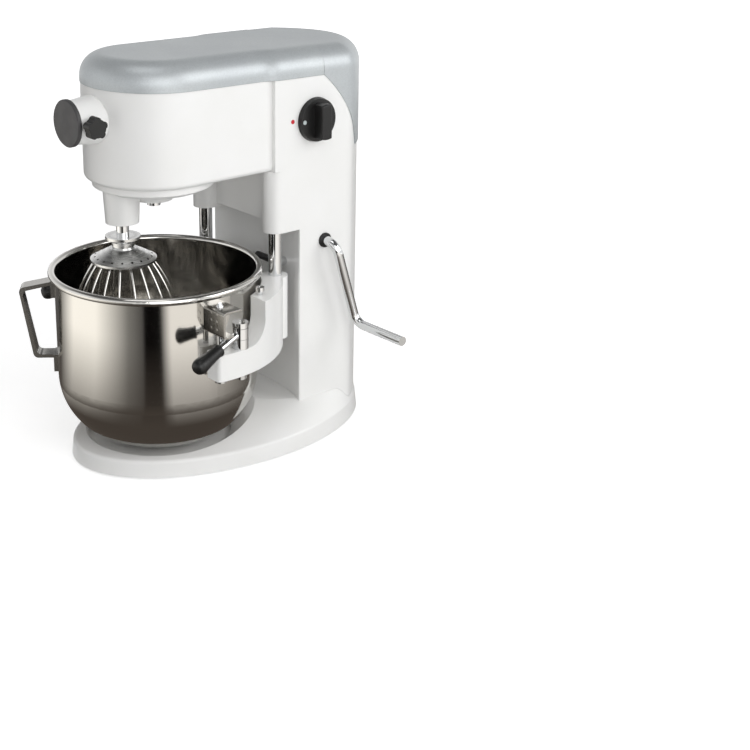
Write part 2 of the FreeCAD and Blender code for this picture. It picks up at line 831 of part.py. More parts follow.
def top_cover():
    return cut(cover_solid("0", "0"), cover_solid("cover_thickness", "rim_over"))


def rear_solid(inset, depth):
    """A solid of the rear cover, inset on every side."""
    oval = oval_prism(f"column_semi_x + rear_lip - {inset}", f"column_semi_y + rear_lip - {inset}",
                      "base_centre_back", "rear_drop_height - 2 * tool_far", "top_front")
    sides = block(f"-column_half_width - cover_overhang + {inset}",
                  f"column_half_width + cover_overhang - {inset}",
                  f"cover_split + cover_joint - {depth}", "column_back + 2 * tool_far",
                  "rear_drop_height - 2 * tool_far",
                  "top_front")
    front = num("cover_split + tool_far")
    plan = rounded(common(oval, sides), f"corner_round - {inset}",
                   lambda edge: (upright(edge) and edge.BoundBox.YMin > front
                                 and abs(edge.BoundBox.XMin) > num("tool_over")))
    side = padded([("cover_split - tool_far", f"seam_rear - {depth}"),
                   ("cover_split", f"seam_rear - {depth}", "-rear_drop_radius"),
                   ("rear_drop_back", f"rear_drop_height - {depth}"),
                   ("column_back + 4 * tool_far", f"rear_drop_height - {depth}"),
                   ("column_back + 4 * tool_far", f"top_rear - {inset}"),
                   ("cover_split - tool_far", f"top_split - {inset}")],
                  "YZ_Plane", "4 * column_half_width", both_ways=True)
    lowest = num("top_rear") - num("cover_thickness") - 2
    return rounded(common(plan, side), f"cover_round - {inset}",
                   lambda edge: edge.BoundBox.ZMin > lowest and edge.BoundBox.YMax > front)


def rear_cover():
    return cut(rear_solid("0", "0"), rear_solid("cover_thickness", "rim_over"))


node("top_cover", top_cover())
node("rear_cover", rear_cover())


# Planetary drive: ring gear, bridge, carrier and the shafts in it

def toothed(teeth, outward, inward, outer_share, inner_share, first):
    """Corners of a toothed round: each tooth is a trapezoid across the pitch circle, the first at an angle."""
    module = num("gear_module")
    pitch = module * teeth / 2
    inner, outer = pitch - num(inward) * module, pitch + num(outward) * module
    points = []
    for tooth in range(teeth):
        for radius, share in ((inner, -num(inner_share)), (outer, -num(outer_share)),
                              (outer, num(outer_share)), (inner, num(inner_share))):
            angle = first + 2 * math.pi * (tooth + share) / teeth
            points.append(Vec(radius * math.cos(angle), radius * math.sin(angle), 0))
    return points


def slab(points, thickness):
    """A flat plate of the given corners, made solid along Z."""
    return Part.Face(Part.makePolygon(points + points[:1])).extrude(Vec(0, 0, thickness))


def pinion(teeth, width, bore, first):
    points = toothed(teeth, "tooth_addendum", "tooth_dedendum", "tooth_tip", "tooth_root", first)
    return shaped(slab(points, num(width)).cut(Part.makeCylinder(num(bore), num(width))))


def ring_gear():
    teeth = round(num("ring_teeth"))
    spaces = toothed(teeth, "tooth_dedendum", "tooth_addendum", "space_root", "space_mouth", -math.pi / 2)
    rim = Part.makeCylinder(num("ring_outer"), num("gear_width"))
    return at(shaped(rim.cut(slab(spaces, num("gear_width")))), z="head_floor_top")


def tube(outer, bore, length, x="0", y="0", z="0", along="z"):
    return cut(cylinder(outer, length, x, y, z, along), cylinder(bore, length, x, y, z, along))


def gear_bridge():
    solid = fuse(cylinder("ring_outer", "bridge_thickness", z="ring_top"),
                 cylinder("bridge_boss_radius", "bridge_boss_height", z="bridge_top"))
    seats = [cylinder("main_bearing_radius + seat_clearance", "bearing_width", z=z)
             for z in ("ring_top", "bridge_boss_top - bearing_width")]
    return cut(solid, cylinder("main_shaft_radius + gear_end_gap", "bridge_boss_top", z="0"), *seats)


def main_shaft_bearings():
    return group([tube("main_bearing_radius", "main_shaft_radius + running_clearance", "bearing_width", z=z)
                  for z in ("ring_top", "bridge_boss_top - bearing_width")])


def planet_carrier():
    disc = cylinder("carrier_radius", "carrier_thickness", z="carrier_bottom")
    step = cone("carrier_radius - 2 * carrier_step", "carrier_radius - carrier_step", "carrier_step",
                z="carrier_bottom - carrier_step")
    hub = cone("carrier_hub_radius - carrier_step", "carrier_hub_radius",
               "carrier_bottom - carrier_hub_bottom", z="carrier_hub_bottom")
    housing = cone("planet_housing_bottom_radius", "planet_housing_top_radius",
                   "carrier_bottom - planet_housing_bottom", "0", "-eccentric", "planet_housing_bottom")
    shaft_seat = cylinder("main_shaft_radius + seat_clearance", "tool_deep", z="main_shaft_bottom")
    bolt_hole = cylinder("carrier_bolt_radius + seat_clearance", "tool_deep",
                         z="carrier_hub_bottom - tool_over")
    beater_way = cylinder("shaft_radius + gear_end_gap", "2 * tool_deep", "0", "-eccentric",
                          "planet_housing_bottom - tool_over")
    seats = [cylinder("planet_bearing_radius + seat_clearance", "bearing_width", "0", "-eccentric", z)
             for z in ("planet_housing_bottom", "carrier_top - bearing_width")]
    return cut(fuse(disc, step, hub, housing), shaft_seat, bolt_hole, beater_way, *seats)


def planet_bearings():
    return group([tube("planet_bearing_radius", "shaft_radius + running_clearance", "bearing_width",
                       "0", "-eccentric", z)
                  for z in ("planet_housing_bottom", "carrier_top - bearing_width")])


def main_shaft():
    shaft = cylinder("main_shaft_radius", "main_shaft_top - main_shaft_bottom", z="main_shaft_bottom")
    return cut(shaft, cylinder("carrier_bolt_radius + seat_clearance", "bolt_depth", z="main_shaft_bottom"))


def carrier_bolt():
    head = cylinder("carrier_bolt_head", "carrier_bolt_head_height",
                    z="carrier_hub_bottom - carrier_bolt_head_height")
    return fuse(head, cylinder("carrier_bolt_radius", "main_shaft_bottom + bolt_depth - carrier_hub_bottom",
                               z="carrier_hub_bottom"))


def beater_shaft():
    return cylinder("shaft_radius", "beater_shaft_top - shaft_bottom", "0", "-eccentric", "shaft_bottom")


def planet_pinion():
    teeth = round(num("planet_teeth"))
    gear = pinion(teeth, "gear_width - 2 * gear_end_gap", "shaft_radius + seat_clearance", -math.pi / 2)
    return at(gear, "0", "-eccentric", "head_floor_top + gear_end_gap")


def shaft_collar():
    return tube("collar_radius", "shaft_radius + seat_clearance", "collar_thickness", "0", "-eccentric",
                "collar_height")


node("ring_gear", ring_gear())
node("gear_bridge", gear_bridge())
node("main_shaft_bearings", main_shaft_bearings())
node("planet_carrier", planet_carrier())
node("planet_bearings", planet_bearings())
node("main_shaft", main_shaft())
node("carrier_bolt", carrier_bolt())
node("beater_shaft", beater_shaft())
node("planet_pinion", planet_pinion())
node("shaft_collar", shaft_collar())


# Whisk: a grooved bush, a cap and nested wire loops

def whisk_bush():
    inner = "shaft_radius + seat_clearance"
    waist = "bush_radius - bush_groove"
    outline = [(inner, "bush_bottom"), ("bush_radius", "bush_bottom")]
    for share in (2, 3, 4):
        low = f"bush_bottom + (bush_top - bush_bottom) * {share} / 6"
        high = f"bush_bottom + (bush_top - bush_bottom) * ({share} + 0.5) / 6"
        outline += [("bush_radius", low), (waist, low), (waist, high), ("bush_radius", high)]
    outline += [("bush_radius", "bush_top"), (inner, "bush_top")]
    return turned(outline, "0", "-eccentric")


def whisk_cap():
    inner = "bush_radius + seat_clearance"
    return turned([(inner, "cap_bottom"), ("cap_radius", "cap_bottom"),
                   ("cap_radius", "cap_bottom + cap_rim"),
                   ("cap_top_radius", "cap_top"), (inner, "cap_top")], "0", "-eccentric")


def loop_wire(order):
    """One wire loop: out from the cap on a large arc, round the bottom on a half circle and back up."""
    wide, top, cap = num("whisk_radius"), num("wire_top_radius"), num("cap_bottom")
    low = num("whisk_bottom") + order * (2 * num("wire_radius") + num("wire_gap"))
    belly = low + wide
    bulge = wide - top
    flank = (bulge ** 2 + (cap - belly) ** 2) / (2 * bulge)
    rise = math.asin((cap - belly) / flank) / 2
    shoulder = Vec(wide - flank + flank * math.cos(rise), 0, belly + flank * math.sin(rise))
    corner = Vec(wide * math.sqrt(0.5), 0, belly - wide * math.sqrt(0.5))
    flip = lambda spot: Vec(-spot.x, 0, spot.z)
    ends = [Vec(top, 0, cap), Vec(wide, 0, belly), Vec(0, 0, low), Vec(-wide, 0, belly), Vec(-top, 0, cap)]
    mids = [shoulder, corner, flip(corner), flip(shoulder)]
    path = Part.Wire([Part.Arc(a, m, b).toShape() for a, m, b in zip(ends, mids, ends[1:])])
    start = ends[0] - Vec(wide - flank, 0, belly)
    facing = Vec(start.z, 0, -start.x)
    profile = Part.Wire(Part.makeCircle(num("wire_radius"), ends[0], facing))
    wire = path.makePipeShell([profile], True, True)
    wire.rotate(Vec(), Vec(0, 0, 1), 180 * order / num("wire_loops"))
    return wire


def whisk_wires():
    clear = 2 * num("whisk_radius")
    level = Part.makeBox(2 * clear, 2 * clear, clear, Vec(-clear, -clear, num("cap_bottom")))
    loops = [loop_wire(order).cut(level) for order in range(round(num("wire_loops")))]
    return at(shaped(Part.makeCompound(loops)), "0", "-eccentric")


node("whisk_bush", whisk_bush())
node("whisk_cap", whisk_cap())
node("whisk_wires", whisk_wires())


# Attachment hub: places along it are measured forward from the bowl's axis

def along_hub(outline):
    return turned(outline, "0", "0", "hub_height", "-y")


def attachment_hub():
    shaft_bore = "hub_shaft_radius + running_clearance"
    dog_bore = "hub_dog_radius + gear_end_gap"
    barrel = along_hub([(shaft_bore, "hub_tail_reach"), ("hub_tail_radius", "hub_tail_reach"),
                        ("hub_tail_radius", "hub_root_reach"), ("hub_root_radius", "hub_root_reach"),
                        ("hub_root_radius", "hub_root_end"), ("hub_front_radius", "hub_reach"),
                        ("hub_mouth_radius", "hub_reach"), ("hub_mouth_radius",
                                                            "hub_reach - hub_mouth_depth"),
                        ("hub_bore_radius", "hub_reach - hub_mouth_depth"),
                        ("hub_bore_radius", "hub_drive_reach"),
                        (dog_bore, "hub_drive_reach"), (dog_bore, "hub_dog_reach - gear_end_gap"),
                        (shaft_bore, "hub_dog_reach - gear_end_gap")])
    return cut(barrel, cylinder("star_screw_radius + running_clearance", "hub_root_radius",
                                "hub_bore_radius / 2",
                                "-star_reach", "hub_height", "x"))


def hub_shaft():
    shaft = along_hub([("0", "hub_shaft_tail"), ("hub_shaft_radius", "hub_shaft_tail"),
                       ("hub_shaft_radius", "hub_dog_reach"), ("hub_dog_radius", "hub_dog_reach"),
                       ("hub_dog_radius", "hub_drive_reach"), ("0", "hub_drive_reach")])
    square = block("-hub_dog_square / 2", "hub_dog_square / 2", "-hub_drive_reach - tool_over",
                   "gear_end_gap - hub_dog_reach",
                   "hub_height - hub_dog_square / 2", "hub_height + hub_dog_square / 2")
    return cut(shaft, square)


def hub_pinion():
    bore = "hub_shaft_radius + seat_clearance"
    face = "bevel_radius * bevel_rise - bevel_gap"
    return along_hub([(bore, "bevel_inner_radius"),
                      ("bevel_inner_radius * bevel_rise - bevel_gap", "bevel_inner_radius"),
                      (face, "bevel_radius"), (face, "hub_tail_reach - gear_end_gap"),
                      (bore, "hub_tail_reach - gear_end_gap")])


def drive_bevel():
    bore = "main_shaft_radius + seat_clearance"
    inner_face = "hub_height - bevel_inner_radius * bevel_rise - bevel_gap"
    return turned([(bore, "bridge_boss_top + gear_end_gap"),
                   ("bevel_radius", "bridge_boss_top + gear_end_gap"),
                   ("bevel_radius", "bevel_bottom"), ("bevel_inner_radius", inner_face), (bore, inner_face)])


def star_knob():
    start = "hub_root_radius + star_stand_off"
    knob = [cylinder("star_radius - star_lobe_radius / 2", "star_thickness", start, "-star_reach",
                     "hub_height", "x")]
    for lobe in range(round(num("star_lobes"))):
        angle = 360 * lobe / num("star_lobes")
        spread = "(star_radius - star_lobe_radius)"
        knob.append(cylinder("star_lobe_radius", "star_thickness", start,
                             f"{spread} * sin({angle}) - star_reach",
                             f"hub_height + {spread} * cos({angle})", "x"))
    screw = cylinder("star_screw_radius", f"{start} - hub_bore_radius - gear_end_gap",
                     "hub_bore_radius + gear_end_gap", "-star_reach", "hub_height", "x")
    return fuse(screw, *knob)


def hub_cap():
    lip = "hub_mouth_radius - hub_cap_gap"
    inner = "hub_reach - hub_mouth_depth + hub_cap_gap"
    outer = "hub_reach + hub_cap_gap"
    return along_hub([("0", inner), (lip, inner), (lip, outer), ("hub_cap_radius", outer),
                      ("hub_cap_radius", f"{outer} + hub_cap_thickness - hub_cap_chamfer"),
                      ("hub_cap_radius - hub_cap_chamfer", f"{outer} + hub_cap_thickness"),
                      ("0", f"{outer} + hub_cap_thickness")])


node("attachment_hub", attachment_hub())
node("hub_shaft", hub_shaft())
node("hub_pinion", hub_pinion())
node("drive_bevel", drive_bevel())
node("star_knob", star_knob())
node("hub_cap", hub_cap())


# Motor and belt

def pulley(radius, bore):
    low, high = "pulley_bottom + pulley_flange", "pulley_top - pulley_flange"
    floor = f"{radius} - belt_thickness - belt_sink"
    return [(bore, "pulley_bottom"), (radius, "pulley_bottom"), (radius, low), (floor, low), (floor, high),
            (radius, high), (radius, "pulley_top"), (bore, "pulley_top")]


def belt_loop(grow):
    """A belt's outline round both pulleys: two arcs joined by the common tangents."""
    large = num("pulley_radius - belt_thickness - belt_sink") + grow
    small = num("motor_pulley_radius - belt_thickness - belt_sink") + grow
    span = num("motor_y")
    lean = math.asin((large - small) / span)
    touch = Vec(math.cos(lean), math.sin(lean), 0)
    far = Vec(touch.x * small, touch.y * small + span, 0)
    near = touch * large
    flip = lambda spot: Vec(-spot.x, spot.y, 0)
    edges = [Part.Arc(near, Vec(0, -large, 0), flip(near)).toShape(),
             Part.LineSegment(flip(near), flip(far)).toShape(),
             Part.Arc(flip(far), Vec(0, span + small, 0), far).toShape(),
             Part.LineSegment(far, near).toShape()]
    return Part.Face(Part.Wire(edges))


def drive_belt():
    gap = num("belt_gap")
    band = belt_loop(gap + num("belt_thickness")).cut(belt_loop(gap))
    return at(shaped(band.extrude(Vec(0, 0, num("belt_width")))), z="pulley_groove - belt_width / 2")


def motor_housing():
    can = cylinder("motor_radius", "motor_length", "0", "motor_y", "motor_bottom")
    inside = cylinder("motor_radius - motor_cap_height", "motor_length - 2 * motor_cap_height", "0",
                      "motor_y",
                      "motor_bottom + motor_cap_height")
    bore = cylinder("motor_shaft_radius + running_clearance", "motor_length", "0", "motor_y",
                    "motor_bottom + motor_cap_height / 2")
    return cut(can, inside, bore)


def motor_rotor():
    low = "motor_bottom + motor_cap_height / 2 + gear_end_gap"
    core = "motor_radius - 2 * motor_cap_height"
    return turned([("0", low), ("motor_shaft_radius", low),
                   ("motor_shaft_radius", "motor_bottom + 2 * motor_cap_height"),
                   (core, "motor_bottom + 2 * motor_cap_height"), (core, "motor_top - 2 * motor_cap_height"),
                   ("motor_shaft_radius", "motor_top - 2 * motor_cap_height"),
                   ("motor_shaft_radius", "main_shaft_top"), ("0", "main_shaft_top")], "0", "motor_y")


def motor_bracket():
    shelf = block("-column_half_width", "column_half_width", "column_cavity_front + seat_clearance",
                  "motor_y + motor_radius", "motor_bottom - bracket_thickness", "motor_bottom")
    return common(shelf, column_cavity("seat_clearance"))


node("driven_pulley", turned(pulley("pulley_radius", "main_shaft_radius + seat_clearance")))
node("motor_pulley", turned(pulley("motor_pulley_radius", "motor_shaft_radius + seat_clearance"), "0",
                            "motor_y"))
node("drive_belt", drive_belt())
node("motor_housing", motor_housing())
node("motor_rotor", motor_rotor())
node("motor_bracket", motor_bracket())


# Bowl lift: bushes in the shoulders, a forked yoke on two rods, and a rack raised by the crank

def guide_bushes():
    return group([tube("bush_outer", "rod_radius + running_clearance", "head_floor_top - shoulder_bottom",
                       side + "rod_x", "rod_y", "shoulder_bottom") for side in SIDES])


def guide_rods():
    return group([cylinder("rod_radius", "rod_top - rod_bottom", side + "rod_x", "rod_y", "rod_bottom")
                  for side in SIDES])


def rack_tongue(grow):
    return block(f"rack_x - rack_half_width - {grow}", f"rack_x + rack_half_width + {grow}",
                 f"tongue_front - {grow}",
                 "column_front", f"rack_foot_bottom - {grow}", f"rack_foot_top + {grow}")


def yoke():
    ring = tube("yoke_outer_radius", "yoke_inner_radius", "yoke_top - yoke_bottom", z="yoke_bottom")
    arms = common(ring, block("-yoke_outer_radius", "yoke_outer_radius", "-yoke_arm_end",
                              "rod_y + yoke_sleeve_radius / 2",
                              "yoke_bottom", "yoke_top"))
    front = "-yoke_arm_end - tool_over"
    above_arms = padded([(front, "yoke_arm_top"), ("yoke_leg_front - yoke_leg_curve", "yoke_arm_top",
                                                   "yoke_leg_curve"),
                         ("yoke_leg_front", "yoke_arm_top + yoke_leg_curve"),
                         ("yoke_leg_front", "yoke_top + tool_over"),
                         (front, "yoke_top + tool_over")], "YZ_Plane", "4 * yoke_outer_radius",
                         both_ways=True)
    between = block("yoke_sleeve_radius - rod_x", "rod_x - yoke_sleeve_radius", "0", "yoke_outer_radius",
                    "yoke_bridge_top", "yoke_top + tool_over")
    rear = tube("bridge_outer_radius", "yoke_inner_radius", "yoke_bridge_top - yoke_bridge_bottom",
                z="yoke_bridge_bottom")
    bridge = common(rear, block("-rod_x", "rod_x", "0", "yoke_outer_radius", "yoke_bridge_bottom",
                                "yoke_bridge_top"))
    sleeves = [cylinder("yoke_sleeve_radius", "yoke_top - yoke_bottom", side + "rod_x", "rod_y",
                        "yoke_bottom")
               for side in SIDES]
    fork = fuse(cut(arms, above_arms, between), bridge, *sleeves)
    ends = num("yoke_arm_end")
    fork = rounded(fork, "yoke_round", lambda edge: upright(edge) and abs(edge.BoundBox.YMin + ends) < 1e-4)
    holes = []
    for side in SIDES:
        holes.append(cylinder("rod_radius + seat_clearance", "yoke_top", side + "rod_x", "rod_y",
                              "rod_bottom"))
        holes.append(cylinder("pin_radius + seat_clearance", "yoke_top", side + "pin_reach", "-pin_front"))
        holes.append(cylinder("clamp_stud_radius + seat_clearance", "yoke_top", side + "clamp_reach",
                              "clamp_back"))
        holes.append(cylinder("rim_stop_radius + seat_clearance", "yoke_top", side + "rim_stop_reach",
                              "rim_stop_back", "yoke_top - rim_stop_depth"))
    return cut(fork, rack_tongue("seat_clearance"), *holes)


def lift_rack():
    """A toothed bar behind the pinion, carried on a tongue from the yoke."""
    module = num("gear_module")
    step = math.pi * module
    root = num("rack_pitch + tooth_dedendum * gear_module")
    tip = num("rack_pitch - tooth_addendum * gear_module")
    low, high, back = num("rack_foot_bottom"), num("rack_top"), num("rack_back")
    corners = [(num("tongue_front"), low), (back, low), (back, high), (root, high)]
    tooth = math.floor((high - num("crank_z")) / step - 1)
    while num("crank_z") + tooth * step > num("rack_bottom"):
        middle = num("crank_z") + (tooth + 0.5) * step
        for place, share in ((root, "tooth_root"), (tip, "tooth_tip"), (tip, "-tooth_tip"),
                             (root, "-tooth_root")):
            corners.append((place, middle + num(share) * step))
        tooth -= 1
    corners += [(root, num("rack_foot_top")), (num("tongue_front"), num("rack_foot_top"))]
    points = [Vec(0, across, up) for across, up in corners]
    face = Part.Face(Part.makePolygon(points + points[:1]))
    return at(shaped(face.extrude(Vec(2 * num("rack_half_width"), 0, 0))), "rack_x - rack_half_width")


def bent_bar(corners, bend, radius):
    """A round bar along straight runs, with every corner bent to the same radius."""
    edges = []
    start = corners[0]
    for before, here, after in zip(corners, corners[1:], corners[2:]):
        come, go = (here - before).normalize(), (after - here).normalize()
        half = come.getAngle(go) / 2
        enter, leave = here - come * bend * math.tan(half), here + go * bend * math.tan(half)
        middle = here + (go - come).normalize() * (bend / math.cos(half) - bend)
        edges += [Part.LineSegment(start, enter).toShape(), Part.Arc(enter, middle, leave).toShape()]
        start = leave
    edges.append(Part.LineSegment(start, corners[-1]).toShape())
    profile = Part.Wire(Part.makeCircle(radius, corners[0], corners[1] - corners[0]))
    return Part.Wire(edges).makePipeShell([profile], True, True)


def crank_handle():
    """Measured from the crank's axis on the middle plane."""
    out, back, down = num("crank_plane"), num("crank_back"), -num("crank_drop")
    corners = [Vec(num("crank_inner_end"), 0, 0), Vec(out, 0, 0), Vec(out, back, down),
               Vec(num("crank_plane + crank_grip"), back, down)]
    return at(shaped(bent_bar(corners, num("crank_bend"), num("crank_radius"))), "0", "crank_y", "crank_z")


def lift_pinion():
    gear = pinion(round(num("lift_pinion_teeth")), "lift_pinion_width", "crank_radius + seat_clearance",
                  math.pi / 2)
    return at(gear, "rack_x - lift_pinion_width / 2", "crank_y", "crank_z", "x")


def crank_bush():
    solid = fuse(cylinder("crank_bush_radius", "crank_bush_proud", "column_half_width", "crank_y",
                          "crank_z", "x"),
                 cylinder("crank_bush_radius - bush_shoulder", "column_wall",
                          "column_half_width - column_wall",
                          "crank_y", "crank_z", "x"))
    return cut(solid, cylinder("crank_radius + running_clearance", "column_half_width",
                               "column_half_width / 2",
                               "crank_y", "crank_z", "x"))


node("guide_bushes", guide_bushes())
node("guide_rods", guide_rods())
node("yoke", yoke())
node("lift_rack", lift_rack())
node("crank_handle", crank_handle())
node("lift_pinion", lift_pinion())
node("crank_bush", crank_bush())


# Bowl with its handle and lugs, and the pins and clamps that hold it on the yoke

def bowl():
    """One spun shell: its outline runs along the floor, up the wall, round the rolled rim and back inside."""
    rim = "bowl_rim_top - rim_bead_radius"
    inner = "bowl_radius - bowl_wall"
    flat = "bowl_radius - bowl_corner"
    wall_foot = "bowl_bottom + bowl_corner"
    return turned([("0", "bowl_bottom"), (flat, "bowl_bottom", "bowl_corner"), ("bowl_radius", wall_foot),
                   ("bowl_radius", f"{rim} - bead_drop", "rim_bead_radius"),
                   (f"{inner} + 2 * rim_bead_radius", rim, "rim_bead_radius"),
                   (f"{inner} + rim_bead_radius", "bowl_rim_top", "rim_bead_radius"), (inner, rim),
                   (inner, wall_foot, "bowl_wall - bowl_corner"),
                   (flat, "bowl_bottom + bowl_wall"), ("0", "bowl_bottom + bowl_wall")])


def around_bowl(points, width):
    """A plate standing out from the bowl at the handle's angle, its outline given as (reach, height)."""
    plate = padded(points, "XZ_Plane", width, both_ways=True)
    return at(plate, along=FreeCAD.Rotation(Vec(0, 0, 1), num("handle_angle")))


def bowl_handle():
    half = "handle_thickness / 2"
    start = "bowl_radius - handle_root"
    upper = "handle_top - handle_top_drop"
    strap = around_bowl([(start, f"handle_top + {half}"),
                         (f"handle_top_reach + {half}", f"{upper} + {half}"),
                         (f"handle_bottom_reach + {half}", f"handle_bottom - {half}"),
                         (start, f"handle_bottom - {half}"), (start, f"handle_bottom + {half}"),
                         (f"handle_bottom_reach - {half}", f"handle_bottom + {half}"),
                         (f"handle_top_reach - {half}", f"{upper} - {half}"),
                         (start, f"handle_top - {half}")],
                        "handle_width")
    beyond = num("bowl_radius") + num("handle_bend")
    strap = rounded(strap, "handle_bend", lambda edge: abs(edge.Length - num("handle_width")) < 1e-4
                    and edge.BoundBox.ZLength < 1e-4 and math.hypot(*edge.CenterOfMass[:2]) > beyond)
    pads = []
    for middle in ("handle_top", "handle_bottom"):
        pads.append(around_bowl([(start, f"{middle} - handle_pad"),
                                 ("bowl_radius + handle_thickness", f"{middle} - handle_pad"),
                                 ("bowl_radius + handle_thickness", f"{middle} + {half}"),
                                 (start, f"{middle} + {half}")],
                                "handle_width + handle_thickness"))
    return cut(fuse(strap, *pads), cylinder("bowl_radius + seat_clearance", "bowl_rim_top"))


def bowl_lugs():
    lugs = []
    for side in SIDES:
        inner, outer = ("0", "bowl_radius + lug_reach") if side == "" else ("-bowl_radius - lug_reach", "0")
        plate = block(inner, outer, "-lug_front", "lug_thickness - lug_front", "lug_top - lug_height",
                      "lug_top")
        flange = block(inner, outer, "-lug_front", "lug_depth - lug_front", "lug_top - lug_thickness",
                       "lug_top")
        hole = cylinder("pin_radius + lug_hole_clearance", "lug_top", side + "pin_reach", "-pin_front",
                        "lug_thickness")
        lugs.append(cut(fuse(plate, flange), cylinder("bowl_radius + seat_clearance", "bowl_rim_top"),
                        hole))
    return group(lugs)


def locating_pins():
    pins = []
    for side in SIDES:
        x, y = side + "pin_reach", "-pin_front"
        low = "yoke_bottom - nut_height - gear_end_gap"
        pins.append(fuse(cylinder("pin_radius", f"pin_top - pin_radius - ({low})", x, y, low),
                         cone("pin_radius", "pin_radius / 2", "pin_radius", x, y, "pin_top - pin_radius"),
                         cylinder("nut_radius", "nut_height", x, y, "yoke_bottom - nut_height")))
    return group(pins)


def clamp_studs():
    studs = []
    for side in SIDES:
        x, y = side + "clamp_reach", "clamp_back"
        low = "yoke_bottom - nut_height - gear_end_gap"
        head = "clamp_hub_top + clamp_gap"
        studs.append(fuse(cylinder("clamp_stud_radius", f"{head} + clamp_nut_height - ({low})", x, y, low),
                          cylinder("nut_radius", "nut_height", x, y, "yoke_bottom - nut_height"),
                          cylinder("clamp_washer_radius", "clamp_washer_height", x, y, "yoke_arm_top"),
                          cylinder("clamp_washer_radius - clamp_gap", "clamp_nut_height", x, y, head)))
    return group(studs)


def rim_stops():
    stops = []
    for side in SIDES:
        x, y = side + "rim_stop_reach", "rim_stop_back"
        stops.append(fuse(cylinder("rim_stop_radius", "rim_stop_depth + rim_stop_height", x, y,
                                   "yoke_top - rim_stop_depth"),
                          cylinder("rim_stop_head", "rim_stop_height / 2", x, y,
                                   "yoke_top + rim_stop_height / 2")))
    return group(stops)


def clamp_way(side):
    """The direction of a clamp lever: out, forward and down."""
    out = num(side + "clamp_lever_out")
    return Vec(out, -num("clamp_lever_forward"), -num("clamp_lever_drop")).normalize()


def clamp_lever(side):
    x, y = side + "clamp_reach", "clamp_back"
    stem = cylinder("clamp_lever_radius", "clamp_grip_start + clamp_grip_length / 2", x, y,
                    "clamp_lever_height",
                    FreeCAD.Rotation(Vec(0, 0, 1), clamp_way(side)))
    hub = cylinder("clamp_hub_radius", "clamp_hub_height", x, y, "clamp_base + clamp_gap")
    return cut(fuse(hub, stem), cylinder("clamp_stud_radius + running_clearance", "bowl_rim_top", x, y))


def grip_outline(bore, neck, radius, length):
    """A hand grip with a domed end and a blind hole half way up it."""
    depth = f"{length} / 2 + seat_clearance"
    return [(bore, "0"), (neck, "0"), (radius, f"{length} - {radius}", radius), ("0", length),
            ("0", depth), (bore, depth)]


def clamp_grip(side):
    way = clamp_way(side) * num("clamp_grip_start")
    return turned(grip_outline("clamp_lever_radius + seat_clearance", "clamp_grip_neck",
                               "clamp_grip_radius",
                               "clamp_grip_length"),
                  f"{side}clamp_reach + {way.x}", f"clamp_back + {way.y}", f"clamp_lever_height + {way.z}",
                  FreeCAD.Rotation(Vec(0, 0, 1), way))


node("bowl", bowl())
node("bowl_handle", bowl_handle())
node("bowl_lugs", bowl_lugs())
node("locating_pins", locating_pins())
node("clamp_studs", clamp_studs())
node("rim_stops", rim_stops())
for side, side_name in zip(SIDES, ("right", "left")):
    node(f"clamp_lever_{side_name}", clamp_lever(side))
    node(f"clamp_grip_{side_name}", clamp_grip(side))


# Lock lever on the front of the column

def lock_stud():
    wall = "channel_back - channel_radius + sqrt(channel_radius ^ 2 - (lock_x + lock_shoulder_radius) ^ 2)"
    rear = "lock_y + lock_hub_length / 2 + clamp_gap"
    front = "lock_y - lock_hub_length / 2 - clamp_gap"
    return fuse(cylinder("lock_stud_radius", f"column_cavity_front - ({front})", "lock_x", front, "lock_z",
                         "y"),
                cylinder("lock_shoulder_radius", f"{wall} - ({rear})", "lock_x", rear, "lock_z", "y"),
                cylinder("lock_shoulder_radius", "lock_head_height", "lock_x",
                         f"{front} - lock_head_height",
                         "lock_z", "y"))


def lock_lever():
    hub = cylinder("lock_hub_radius", "lock_hub_length", "lock_x", "lock_y - lock_hub_length / 2",
                   "lock_z", "y")
    arm = cylinder("lock_arm_radius", "lock_hub_radius + gear_end_gap + lock_grip_length / 2", "lock_x",
                   "lock_y", "lock_z", "-x")
    bore = cylinder("lock_stud_radius + running_clearance", "2 * lock_hub_length", "lock_x",
                    "lock_y - lock_hub_length", "lock_z", "y")
    return cut(fuse(hub, arm), bore)


def lock_grip():
    return turned(grip_outline("lock_arm_radius + seat_clearance", "lock_grip_radius", "lock_grip_radius",
                               "lock_grip_length"),
                  "lock_x - lock_hub_radius - gear_end_gap", "lock_y", "lock_z", "-x")


node("lock_stud", lock_stud())
node("lock_lever", lock_lever())
node("lock_grip", lock_grip())


# Controls and electrics

def speed_knob():
    face = "column_half_width + knob_gap"
    skirt = cone("knob_radius", "knob_radius - knob_taper", "knob_skirt", face, "knob_y", "knob_z", "x")
    grip = common(cylinder("knob_grip_radius", "knob_grip_height", f"{face} + knob_skirt", "knob_y",
                           "knob_z", "x"),
                  block(f"{face} + knob_skirt", f"{face} + knob_skirt + knob_grip_height",
                        "knob_y - knob_grip_width / 2", "knob_y + knob_grip_width / 2",
                        "knob_z - knob_grip_radius", "knob_z + knob_grip_radius"))
    top = num(f"{face} + knob_skirt + knob_grip_height")
    grip = rounded(grip, "knob_round", lambda edge: all(abs(v.X - top) < 1e-4 for v in edge.Vertexes))
    stem = cylinder("knob_stem_radius", f"{face} - column_half_width + switch_depth",
                    "column_half_width - switch_depth",
                    "knob_y", "knob_z", "x")
    return fuse(skirt, grip, stem)


def speed_knob_mark():
    return cylinder("knob_mark_radius", "knob_mark_height", "column_half_width + knob_gap + knob_skirt",
                    "knob_y - knob_radius + 2 * knob_mark_radius", "knob_z", "x")


def index_mark():
    return cylinder("knob_mark_radius", "knob_mark_height", "column_half_width", "index_back", "index_z",
                    "x")


